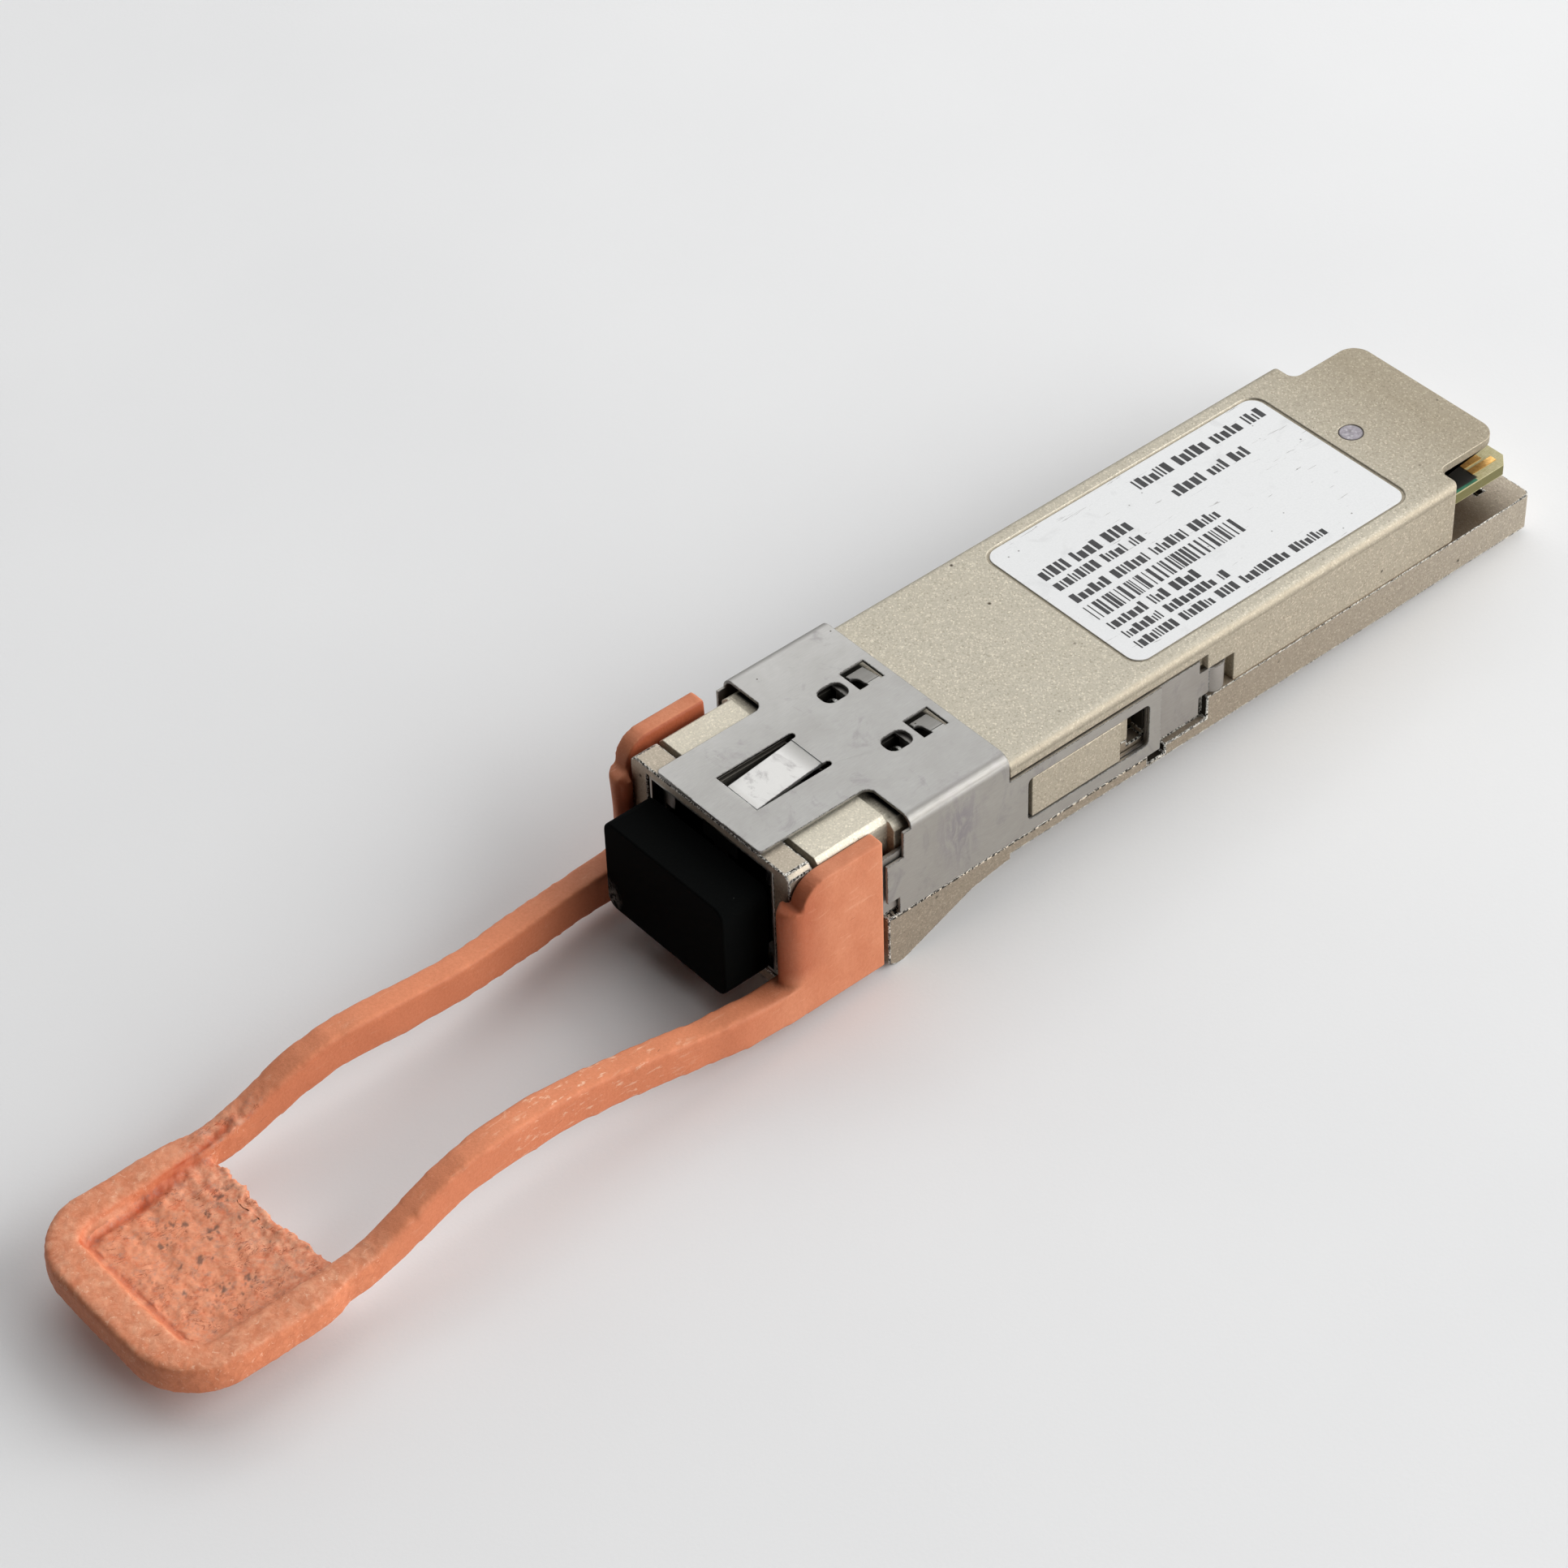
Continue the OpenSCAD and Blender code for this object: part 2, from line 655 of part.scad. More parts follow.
// One row of card contacts.
module contact_row(z) {
  from_rear() color([0.83, 0.66, 0.30])
    for (i = [0:contact_count - 1])
      translate([i % 3 == 0 ? 2.1 : 2.75, (i - (contact_count - 1) / 2) * contact_pitch - 0.27, z])
        cube([i % 3 == 0 ? 2.4 : 1.75, 0.54, 0.05]);
}

module card_contacts_top() {
  contact_row(board_top);
}

module card_contacts_bottom() {
  contact_row(board_low - 0.05);
}

// Chip under the board.
module chip(x, y, side, h) {
  from_rear() color([0.12, 0.12, 0.13])
    translate([x - side / 2, y - side / 2, board_low - h]) cube([side, side, h]);
}

module controller_chip() {
  from_rear() color([0.12, 0.12, 0.13])
    translate([14, -3, board_top]) cube([6, 6, 0.55]);
}

module driver_chip() {
  chip(30, -2.7, 4.6, 0.9);
}

module receiver_chip() {
  chip(20, 2.2, 5, 0.9);
}

module board_capacitors() {
  from_rear() color([0.62, 0.53, 0.40]) {
    for (i = [0:5], s = [-1, 1]) translate([23 + i * 2, s * 5 - 0.25, board_top]) cube([1, 0.5, 0.5]);
    for (i = [0:3], s = [-1, 1]) translate([12.2 + i * 2.2, s * 6.4 - 0.25, board_top]) cube([1, 0.5, 0.5]);
  }
}

module thermal_pads() {
  from_rear() color([0.60, 0.68, 0.74]) {
    block([27.9, -4.8, 3.6], [32.1, -0.6, board_low - 0.9]);
    block([17.7, -0.1, 3.6], [22.3, 4.5, board_low - 0.9]);
  }
}

// ---------- optics ----------

// Sealed optical box with a barrel root, on one side.
module optics_box(side, x0, w, h) {
  from_rear() color([0.76, 0.68, 0.45]) translate([0, side * port_pitch / 2, 0]) {
    block([x0, -w / 2, floor_t], [55, w / 2, floor_t + h]);
    rod(55 - eps, 56, 0, fibre_z, 1.9);
  }
}

module transmitter_assembly() {
  optics_box(-1, 42.6, 5.8, 4.7);
}

module receiver_assembly() {
  optics_box(1, 43.6, 5.6, 4.3);
}

module transmitter_flex() {
  from_rear() color([0.80, 0.52, 0.20]) {
    block([38.6, -5.4, board_top], [41.7, -1.0, board_top + 0.15]);
    block([41.55, -5.4, 4.2], [41.7, -1.0, board_top + 0.15]);
    block([41.55, -5.4, 4.2], [42.6, -1.0, 4.35]);
  }
}

module receiver_flex() {
  from_rear() color([0.80, 0.52, 0.20]) {
    block([38.6, 1.0, board_low - 0.15], [42.2, 5.4, board_low]);
    block([42.05, 1.0, 3.0], [42.2, 5.4, board_low]);
    block([42.05, 1.0, 3.0], [43.6, 5.4, 3.15]);
  }
}

// Barrel that guides one fibre ferrule.
module receptacle(side) {
  from_rear() color([0.80, 0.80, 0.79]) translate([0, side * port_pitch / 2, 0]) difference() {
    union() {
      rod(56, 57.2, 0, fibre_z, 2.2);
      rod(56, bore_mouth, 0, fibre_z, 1.45);
    }
    rod(stub_end, bore_mouth + 1, 0, fibre_z, ferrule_r);
    rod(55, stub_end + eps, 0, fibre_z, stub_r + 0.01);
  }
}

module tx_receptacle() {
  receptacle(-1);
}

module rx_receptacle() {
  receptacle(1);
}

module fibre_stubs() {
  from_rear() color([0.95, 0.95, 0.93]) for (s = [-1, 1])
    rod(56, stub_end, s * port_pitch / 2, fibre_z, stub_r);
}

module optics_clamp() {
  from_rear() color([0.30, 0.31, 0.33]) difference() {
    bar(57.3, 58.1, 6.6, optics_floor, 6.4);
    for (s = [-1, 1]) rod(57, 59, s * port_pitch / 2, fibre_z, 1.5);
  }
}

module port_gasket() {
  from_rear() color([0.28, 0.28, 0.30]) difference() {
    bar(60.0, 60.9, 6.1, -0.9, 7.6);
    bar(59, 62, 5.5, -0.3, 7.0);
  }
}

// Square block round the axis of one fibre port.
module port_block(side, x0, x1, half) {
  y = side * port_pitch / 2;
  block([x0, y - half, fibre_z - half], [x1, y + half, fibre_z + half]);
}

module lc_port_frame() {
  from_rear() color([0.55, 0.55, 0.56]) difference() {
    bar(60.9, nose_x - 0.1, 6.15, -0.9, 8.3);
    for (s = [-1, 1]) {
      port_block(s, 60, 70, 2.4);
      block([62.2, s * port_pitch / 2 - 1.4, fibre_z], [70, s * port_pitch / 2 + 1.4, 7.7]);
    }
    bar(60, 70, 0.75, 7.2, 9);
    // front face set back inside a thin rim
    bar(nose_x - 0.9, nose_x, 5.9, -0.65, 8.05);
  }
}

module dust_plug() {
  edge_r = 0.9;
  from_rear() color([0.05, 0.05, 0.05]) {
    difference() {
      along_x(nose_x + 0.2, plug_x)
        rounded(-plug_half_w, plug_half_w, plug_low, plug_low + plug_h, edge_r);
      for (s = [-1, 1]) port_block(s, 60, nose_x + 1.5, post_hollow);
    }
    for (s = [-1, 1]) difference() {
      port_block(s, 63.2, nose_x + 0.3, 2.15);
      port_block(s, 60, nose_x + 1.5, post_hollow);
    }
  }
}

base_shell();
label_cover();
emi_sleeve();
product_label();
cover_screw();
screw_seal();
main_board();
card_contacts_top();
card_contacts_bottom();
controller_chip();
driver_chip();
receiver_chip();
board_capacitors();
thermal_pads();
seam_gaskets();
transmitter_assembly();
receiver_assembly();
transmitter_flex();
receiver_flex();
tx_receptacle();
rx_receptacle();
fibre_stubs();
optics_clamp();
port_gasket();
lc_port_frame();
latch_slider();
latch_spring_left();
latch_spring_right();
pull_tab();
dust_plug();
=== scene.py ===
"""Looks of a pluggable optical transceiver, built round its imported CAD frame. Metres, +Z up."""

import math
import random

import bmesh
import bpy
import numpy as np
from mathutils import Matrix, Vector, noise


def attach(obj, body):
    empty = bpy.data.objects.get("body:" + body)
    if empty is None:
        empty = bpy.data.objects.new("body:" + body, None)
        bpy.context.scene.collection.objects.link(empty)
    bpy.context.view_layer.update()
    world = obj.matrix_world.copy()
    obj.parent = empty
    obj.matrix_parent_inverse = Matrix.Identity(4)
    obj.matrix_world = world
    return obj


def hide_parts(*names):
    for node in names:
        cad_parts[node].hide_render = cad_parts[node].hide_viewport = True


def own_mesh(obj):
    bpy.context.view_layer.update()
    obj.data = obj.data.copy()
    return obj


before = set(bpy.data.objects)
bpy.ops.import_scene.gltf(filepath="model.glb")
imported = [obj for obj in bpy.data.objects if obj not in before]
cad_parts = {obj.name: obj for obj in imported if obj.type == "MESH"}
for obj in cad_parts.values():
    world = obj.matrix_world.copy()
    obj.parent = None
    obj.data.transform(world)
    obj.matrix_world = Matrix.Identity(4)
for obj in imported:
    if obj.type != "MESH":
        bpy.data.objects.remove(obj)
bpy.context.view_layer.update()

MM = 0.001

# Places in mm: along the body from its rear end, across it from the middle, up from the heat sink face.
DATUM_X = 27.0  # row origin
BODY_TOP = 8.5
BODY_HALF = 9.175
SEAM_Z = 3.5  # joint between the shells in the rear half
FLANGE_Z = 1.55  # top of the lower flange beside the latch
LABEL_TOP = 8.46  # printed face of the label
SEAL_X = 9.1
CARD_LOW, CARD_TOP, CARD_HALF = 5.7, 6.6, 8.2
NECK_X = 32.0  # the lower shell is narrower from here on
STRIP_X = 36.5  # rear edge of the sleeve's side strips
WINDOW_X = 37.6  # rear edge of the sleeve's side windows
BOSS_HIGH = 6.2  # top of the boss in a side window
DECK_X = 50.9  # rear end of the deck under the sleeve
DECK_TOP = 8.75
SLEEVE_FRONT = 58.9  # front edge of the wide part of the sleeve
SLEEVE_TOP, SLEEVE_HALF = 9.45, 9.3
COVER_END = 65.6  # front end of the upper shell's slot under the bent tongue
TONGUE_X = 59.0  # hinge of the bent tongue
TONGUE_HALF = 1.5
SLOT_HALF = 2.15  # half width of the slots beside the bent tongue
NOSE_X = 59.7  # rear end of the raised nose
REAR_FOOT = Vector((1.2, 0, 0))  # rear edge of the heat sink face
NOSE_FOOT = Vector((60, 0, -2.9))  # lowest line of the nose
PLUG_X = 72.0  # front face of the plug
ARM_X = 69.0  # the pads of the tab end and its arms begin
LOOP_X = 99.5  # the arms end and the loop begins
WEB_REAR, WEB_FRONT, WEB_HALF = 103.0, 114.0, 6.0
TAB_FRONT, TAB_LOW = 117.4, -3.0


# ---------- materials ----------


class Shade:
    """A procedural material whose patterns are laid out in millimetres."""

    def __init__(self, name, **values):
        self.material = bpy.data.materials.new(name)
        self.material.use_nodes = True
        self.tree = self.material.node_tree
        self.tree.nodes.clear()
        self.shader = self.new("ShaderNodeBsdfPrincipled")
        out = self.new("ShaderNodeOutputMaterial")
        self.tree.links.new(self.shader.outputs[0], out.inputs[0])
        self.mm = self.new("ShaderNodeVectorMath", operation="SCALE")
        self.mm.inputs["Scale"].default_value = 1 / MM
        coord = self.new("ShaderNodeTexCoord")
        self.tree.links.new(coord.outputs["Object"], self.mm.inputs[0])
        for key, value in values.items():
            self.shader.inputs[key.replace("_", " ")].default_value = value
        self.normal = None

    def new(self, kind, **props):
        made = self.tree.nodes.new(kind)
        for key, value in props.items():
            setattr(made, key, value)
        return made

    def plug(self, value, socket):
        """Links a socket, or sets a number or colour on it."""
        if isinstance(value, bpy.types.NodeSocket):
            self.tree.links.new(value, socket)
        elif isinstance(value, tuple) and len(value) == 3 and socket.type == "RGBA":
            socket.default_value = (*value, 1)
        else:
            socket.default_value = value

    def place(self, stretch=(1, 1, 1), turn=(0, 0, 0), shift=(0, 0, 0)):
        mapping = self.new("ShaderNodeMapping")
        self.tree.links.new(self.mm.outputs[0], mapping.inputs["Vector"])
        mapping.inputs["Location"].default_value = shift
        mapping.inputs["Rotation"].default_value = [math.radians(a) for a in turn]
        mapping.inputs["Scale"].default_value = stretch
        return mapping.outputs[0]

    def noise(self, scale, detail=3, rough=0.5, warp=0, **where):
        made = self.new("ShaderNodeTexNoise")
        self.plug(self.place(**where), made.inputs["Vector"])
        for key, value in (("Scale", scale), ("Detail", detail), ("Roughness", rough), ("Distortion", warp)):
            made.inputs[key].default_value = value
        return made.outputs["Fac"]

    def cells(self, scale, output="Distance"):
        made = self.new("ShaderNodeTexVoronoi")
        self.plug(self.place(), made.inputs["Vector"])
        made.inputs["Scale"].default_value = scale
        return made.outputs[output]

    def specks(self, scale, size, gate, low, high):
        """Round specks on the points of a cell pattern, only where the gate noise is high."""
        dots = self.fall(self.cells(scale), *size)
        return self.both(dots, self.remap(gate, low, high))

    def axis(self, index):
        made = self.new("ShaderNodeSeparateXYZ")
        self.tree.links.new(self.mm.outputs[0], made.inputs[0])
        return made.outputs[index]

    def along(self):
        """Place along the body in mm from its rear end."""
        return self.maths("ADD", self.axis(0), DATUM_X)

    def across(self):
        """Distance in mm from the middle of the body."""
        return self.maths("ABSOLUTE", self.axis(1))

    def distance(self, point, stretch=(1, 1, 1)):
        """Distance in mm from a point, with the axes stretched."""
        made = self.new("ShaderNodeVectorMath", operation="DISTANCE")
        self.plug(self.place(stretch=stretch), made.inputs[0])
        made.inputs[1].default_value = [(p - d) * k for p, d, k in zip(point, (DATUM_X, 0, 0), stretch)]
        return made.outputs["Value"]

    def remap(self, value, low, high, to_low=0.0, to_high=1.0):
        made = self.new("ShaderNodeMapRange")
        for key, given in enumerate((value, low, high, to_low, to_high)):
            self.plug(given, made.inputs[key])
        return made.outputs[0]

    def fall(self, value, low, high):
        """1 below the lower limit and 0 above the upper one."""
        return self.remap(value, low, high, 1, 0)

    def between(self, value, low, high, soft=0.1):
        """1 between two limits and 0 outside them."""
        above = self.remap(value, low - soft, low + soft)
        return self.both(above, self.fall(value, high - soft, high + soft))

    def maths(self, operation, a, b=0.0):
        made = self.new("ShaderNodeMath", operation=operation)
        self.plug(a, made.inputs[0])
        self.plug(b, made.inputs[1])
        return made.outputs[0]

    def both(self, mask, *others):
        """Product of masks and shares."""
        for other in others:
            mask = self.maths("MULTIPLY", mask, other)
        return mask

    def mix(self, share, a, b, blend="MIX"):
        made = self.new("ShaderNodeMix", data_type="RGBA", blend_type=blend)
        self.plug(share, made.inputs[0])
        self.plug(a, made.inputs[6])
        self.plug(b, made.inputs[7])
        return made.outputs[2]

    def paint(self, tone, colour, *masks):
        """Covers a tone with a colour where all the masks are."""
        return self.mix(self.both(*masks), tone, colour)

    def multiply(self, tone, factors, *masks):
        """Multiplies a tone where all the masks are."""
        return self.paint(tone, self.mix(1.0, tone, factors, "MULTIPLY"), *masks)

    def value(self, name):
        """A value kept at each point of the mesh."""
        made = self.new("ShaderNodeAttribute", attribute_name=name)
        return made.outputs["Fac"]

    def colour(self, value):
        self.plug(value, self.shader.inputs["Base Color"])

    def rough(self, value):
        self.plug(value, self.shader.inputs["Roughness"])

    def bump(self, height, distance_mm, strength=1.0):
        made = self.new("ShaderNodeBump")
        made.inputs["Strength"].default_value = strength
        made.inputs["Distance"].default_value = distance_mm * MM
        self.plug(height, made.inputs["Height"])
        if self.normal:
            self.plug(self.normal, made.inputs["Normal"])
        self.normal = made.outputs[0]
        self.plug(self.normal, self.shader.inputs["Normal"])


def tinted(colour, red, green=None, blue=None):
    """A colour times one factor, or times one for each channel."""
    factors = (red, green, blue) if green else (red,) * 3
    return tuple(min(1, channel * factor) for channel, factor in zip(colour, factors))


def plated(s, base, dark, rear_side_lighting, rear_lighting_to):
    """Matte nickel plate over a blasted casting: fine painted sparkle, faint mottling and a few dark specks,
    with painted shade and light on the sides and the rear end.
    """
    x, z = s.along(), s.axis(2)
    grain = s.noise(9, 4, 0.7)
    mottle = s.noise(0.55, 4, 0.6)
    glint = s.cells(9.0, "Color")
    # painted sparkle: painted glints on the brightest cells of the pattern, dark grains on the darkest ones
    painted_sparkle = s.remap(glint, 0.66, 0.95, 0, 0.52)
    tone = s.mix(s.remap(grain, 0.3, 0.72), dark, base)
    tone = s.paint(tone, tinted(base, 0.86, 0.84, 0.80), s.remap(mottle, 0.35, 0.7, 0, 0.35))
    tone = s.paint(tone, tinted(base, 1.5), painted_sparkle)
    tone = s.paint(tone, tinted(dark, 0.62, 0.60, 0.56), s.remap(glint, 0.10, 0.28, 0.40, 0))
    # painted shade makes the sides warmer and darker; at the rear end painted shade darkens the top, and the
    # sides get painted shade on the upper shell and painted light on the lower one; the nose is paler
    side = s.fall(z, BODY_TOP - 0.20, BODY_TOP - 0.06)
    tone = s.multiply(tone, (0.90, 0.85, 0.80), side, 0.9)
    rear_lighting = s.mix(side, (0.75, 0.71, 0.65), rear_side_lighting)
    tone = s.multiply(tone, rear_lighting, s.fall(x, 4, rear_lighting_to))
    pale = s.mix(s.remap(grain, 0.3, 0.72), tinted(base, 0.86, 0.86, 0.84), tinted(base, 1.24))
    pale = s.paint(pale, tinted(base, 1.6), painted_sparkle)
    nose = s.remap(x, NOSE_X - 0.4, NOSE_X + 0.2, 0, 0.9)
    tone = s.paint(tone, pale, nose, s.remap(z, BODY_TOP - 1, BODY_TOP))
    scuff = s.noise(0.8, 6, 0.75, 0.4, stretch=(0.6, 2.4, 2.4), turn=(0, 0, 31))
    tone = s.paint(tone, tinted(base, 0.6, 0.57, 0.52), s.remap(scuff, 0.66, 0.74, 0, 0.35))
    large = s.specks(0.42, (0.03, 0.075), s.noise(0.31, 2, 0.5, shift=(7, 3, 1)), 0.47, 0.53)
    tone = s.paint(tone, (0.09, 0.07, 0.05), large)
    small = s.specks(1.6, (0.05, 0.11), s.noise(0.7, 2, 0.5, shift=(1, 9, 4)), 0.56, 0.62)
    tone = s.paint(tone, (0.13, 0.10, 0.07), small, 0.7)
    s.rough(s.remap(grain, 0.25, 0.8, 0.50, 0.66))
    s.bump(grain, 0.05, 0.45)
    s.bump(s.noise(2.2, 3, 0.6), 0.08, 0.12)
    return tone


def upper_nickel():
    """Plate of the upper shell, with painted black shade on the deck under the sleeve, under the bent tongue
    and in the side windows beside the boss.
    """
    base = (0.605, 0.565, 0.475)
    s = Shade("nickel_upper", Metallic=0.82)
    x, y, z = s.along(), s.across(), s.axis(2)
    tone = plated(s, base, (0.425, 0.39, 0.315), (0.92, 0.90, 0.87), 14)
    # painted shade over the rounded top edges, weaker from the front edge of the sleeve on
    rounded = s.between(z, BODY_TOP - 0.70, BODY_TOP - 0.06, 0.05)
    tone = s.paint(tone, tinted(base, 0.42, 0.40, 0.36), rounded,
                   s.remap(x, SLEEVE_FRONT - 0.9, SLEEVE_FRONT + 0.1, 0.42, 0.25))
    # painted shade: near-black on the deck under the sleeve, under the bent tongue and in the rear of the
    # side windows beside the boss
    deck = s.both(s.between(x, DECK_X + 0.05, SLEEVE_FRONT), s.fall(z, DECK_TOP + 0.05, DECK_TOP + 0.11))
    tone = s.paint(tone, (0.010, 0.009, 0.008), deck, s.fall(y, 7.9, 8.0), 0.93)
    under_tongue = s.between(x, TONGUE_X + 0.4, COVER_END, 0.02)
    tone = s.paint(tone, (0.012, 0.010, 0.009), under_tongue, s.fall(y, SLOT_HALF, SLOT_HALF + 0.05), 0.92)
    arm_slot = s.between(x, WINDOW_X - 0.3, WINDOW_X + 1.28, 0.02)
    beside_boss = s.fall(z, BOSS_HIGH + 0.05, BOSS_HIGH + 0.1)
    s.colour(s.paint(tone, (0.012, 0.010, 0.008), arm_slot, beside_boss, 0.9))
    return s


def lower_nickel():
    """Plate of the lower shell: painted brown shade with some grime on the shelf in the card mouth, painted
    shade in its recesses, painted glints and shade in dots under the sleeve.
    """
    base = (0.465, 0.41, 0.335)
    s = Shade("nickel_lower", Metallic=0.82)
    x, y, z = s.along(), s.across(), s.axis(2)
    tone = plated(s, base, (0.31, 0.27, 0.215), (1.22, 1.28, 1.34), 34)
    # painted brown shade with some grime on the shelf at the rear end
    shelf = s.both(s.between(x, 2.5, 10, 2.4), s.remap(z, SEAM_Z - 0.08, SEAM_Z - 0.04))
    tone = s.paint(tone, (0.075, 0.045, 0.020), shelf, 0.8)
    # painted glints in dots along the ledge under the sleeve, with painted shade between them
    dots = s.mix(s.remap(s.noise(4.4, 2, 0.7), 0.52, 0.57), (0.014, 0.011, 0.009), tinted(base, 2.0))
    ledge = s.both(s.between(z, FLANGE_Z - 0.25, FLANGE_Z + 0.07, 0.03),
                   s.remap(x, WINDOW_X, WINDOW_X + 0.1))
    tone = s.paint(tone, dots, ledge, 0.95)
    # painted shade: near-black on the recessed faces of the notch under the side strip, of the neck and
    # inside the front under the sleeve; also a small dark pit at the rear end
    notch = s.both(s.between(x, STRIP_X - 0.7, WINDOW_X, 0.02), s.between(z, 0.4, 2.6, 0.05))
    neck = s.both(s.between(x, NECK_X - 0.1, STRIP_X + 0.5, 0.02),
                  s.between(z, FLANGE_Z + 0.05, SEAM_Z + 0.1, 0.03))
    recess = s.both(s.maths("MAXIMUM", notch, neck), s.fall(y, BODY_HALF - 0.055, BODY_HALF - 0.025))
    inside = s.both(s.between(x, SLEEVE_FRONT, 61.2, 0.02),
                    s.between(z, FLANGE_Z + 0.05, BOSS_HIGH + 0.2, 0.03))
    pit = s.both(s.between(x, 2.2, 3.2, 0.01),
                 s.between(z, SEAM_Z - 1, SEAM_Z - 0.1, 0.02), s.fall(y, 7.0, 7.1))
    dark = s.maths("MAXIMUM", s.maths("MAXIMUM", recess, s.both(inside, 0.85)), pit)
    s.colour(s.paint(tone, (0.016, 0.012, 0.008), dark, 0.92))
    return s


def edge_glints_and_wear(name, base, low, hinge=None):
    """Edge in dots: painted glints with some rubbed wear on the bright dots, painted shade with some grime
    in the dark between them.
    """
    s = Shade(name, Metallic=0.95)
    edge_dots = s.noise(6.5, 3, 0.8)
    tone = s.mix(s.remap(edge_dots, 0.44, 0.56), tinted(base, low), base)
    if hinge:
        # the bent tongue runs smoothly out of the sheet
        x = s.along()
        middle = s.fall(s.across(), TONGUE_HALF, TONGUE_HALF + 0.03)
        tone = s.paint(tone, hinge, middle, s.between(x, TONGUE_X, TONGUE_X + 1.6, 0.02))
        # painted highlight on the front edge of the bent tongue
        tone = s.paint(tone, tinted(hinge, 1.5), middle, s.remap(x, COVER_END - 1.2, COVER_END - 1.1))
    s.colour(tone)
    s.rough(s.remap(edge_dots, 0.3, 0.7, 0.5, 0.28))
    s.bump(edge_dots, 0.25, 0.9)
    return s


def sheet_steel(name, base):
    """Satin stainless sheet with a faint rolled grain, hazy patches and hairline marks."""
    s = Shade(name, Metallic=0.92)
    x, y, z = s.along(), s.across(), s.axis(2)
    grain = s.noise(2.4, 3, 0.6, stretch=(0.5, 9, 9))
    haze = s.noise(0.35, 4, 0.6, 0.6)
    tone = s.paint(base, tinted(base, 0.84, 0.83, 0.82), s.remap(haze, 0.35, 0.7, 0, 0.6))
    tone = s.paint(tone, tinted(base, 0.80, 0.80, 0.79), s.remap(grain, 0.35, 0.7, 0, 0.35))
    # painted shade: warmer and darker down the sides, darker still on the bend at the top
    tone = s.multiply(tone, (0.90, 0.85, 0.79), s.remap(z, SLEEVE_TOP - 0.85, SLEEVE_TOP - 0.25, 0.9, 0))
    tone = s.multiply(tone, (0.62, 0.61, 0.59), s.between(z, SLEEVE_TOP - 0.5, SLEEVE_TOP - 0.02, 0.06))
    # the bent tongue and the far side of the top catch the light, the walls of the slots don't
    tongue = s.both(s.fall(y, TONGUE_HALF, TONGUE_HALF + 0.03),
                    s.between(x, TONGUE_X + 1.2, COVER_END - 0.2, 0.7))
    tone = s.paint(tone, tinted(base, 1.42), tongue, s.fall(z, SLEEVE_TOP - 0.02, SLEEVE_TOP + 0.01))
    wall = s.both(s.between(y, TONGUE_HALF + 0.06, SLOT_HALF, 0.02),
                  s.between(x, TONGUE_X, COVER_END + 0.02, 0.02))
    tone = s.paint(tone, (0.03, 0.027, 0.024), wall, s.fall(z, SLEEVE_TOP - 0.07, SLEEVE_TOP - 0.03))
    far = s.both(s.remap(s.axis(1), -1, -9, 0, 0.8), s.remap(z, SLEEVE_TOP - 0.25, SLEEVE_TOP - 0.05))
    tone = s.multiply(tone, (1.25, 1.25, 1.26), far)
    stain = s.noise(0.30, 5, 0.7, 1.1, shift=(4, 0, 7), stretch=(1.2, 1, 0.7))
    tone = s.paint(tone, tinted(base, 0.58, 0.55, 0.57), s.remap(stain, 0.56, 0.68, 0, 0.5))
    # the side is smeared by handling
    smear = s.noise(0.9, 5, 0.7, 0.8, stretch=(1.6, 1, 0.6), shift=(2, 0, 1))
    handled = s.remap(s.distance((54.7, SLEEVE_HALF, 6.0), (1, 1, 0.55)), 0.5, 2.6, 0.75, 0)
    tone = s.paint(tone, tinted(base, 0.60, 0.55, 0.60), handled, s.remap(smear, 0.42, 0.60))
    mark = s.noise(1.1, 5, 0.7, 0.3, stretch=(0.4, 3.2, 3.2), turn=(0, 0, 24))
    tone = s.paint(tone, tinted(base, 0.55, 0.55, 0.54), s.remap(mark, 0.70, 0.76), 0.5)
    speck = s.specks(0.9, (0.04, 0.08), s.noise(0.6, 2, 0.5, shift=(3, 3, 8)), 0.56, 0.6)
    s.colour(s.paint(tone, (0.05, 0.04, 0.03), speck))
    s.rough(s.remap(grain, 0.3, 0.75, 0.41, 0.53))
    s.bump(grain, 0.02, 0.3)
    s.bump(haze, 0.3, 0.12)
    return s


def plain_rough(name, base, rough, metal=0.0, grain=8, spread=0.15):
    """Fine-grained plain stuff: colour and roughness vary a little with the grain."""
    s = Shade(name, Metallic=metal)
    fine = s.noise(grain, 4, 0.6)
    slow = s.noise(grain / 8, 3, 0.55)
    grains = s.remap(s.maths("ADD", fine, slow), 0.7, 1.3)
    s.colour(s.mix(grains, tinted(base, 1 - spread), tinted(base, 1 + spread)))
    s.rough(s.remap(fine, 0.3, 0.7, rough * 0.85, min(1, rough * 1.15)))
    s.bump(fine, 0.03, 0.4)
    return s


def label_paper():
    """White label stock: soft grey smudges, a few hairline scratches and small pits."""
    s = Shade("label_white", Specular_IOR_Level=0.4)
    fibre = s.noise(7, 4, 0.6)
    smudge = s.noise(0.42, 5, 0.62, 0.7, shift=(3, 8, 0))
    line = s.noise(0.9, 4, 0.6, 0.8, stretch=(0.35, 4.5, 1), turn=(0, 0, 68))
    pit = s.specks(0.9, (0.04, 0.08), s.noise(0.5, 2, 0.5, shift=(2, 2, 0)), 0.49, 0.54)
    tone = s.mix(s.remap(fibre, 0.3, 0.7), (0.74, 0.748, 0.748), (0.79, 0.796, 0.796))
    tone = s.paint(tone, (0.55, 0.55, 0.55), s.remap(smudge, 0.58, 0.72, 0, 0.34))
    tone = s.paint(tone, (0.33, 0.32, 0.31), s.remap(line, 0.665, 0.695, 0, 0.75))
    s.colour(s.paint(tone, (0.12, 0.11, 0.10), pit, 0.8))
    s.rough(s.remap(fibre, 0.3, 0.7, 0.42, 0.55))
    s.bump(fibre, 0.01, 0.2)
    return s


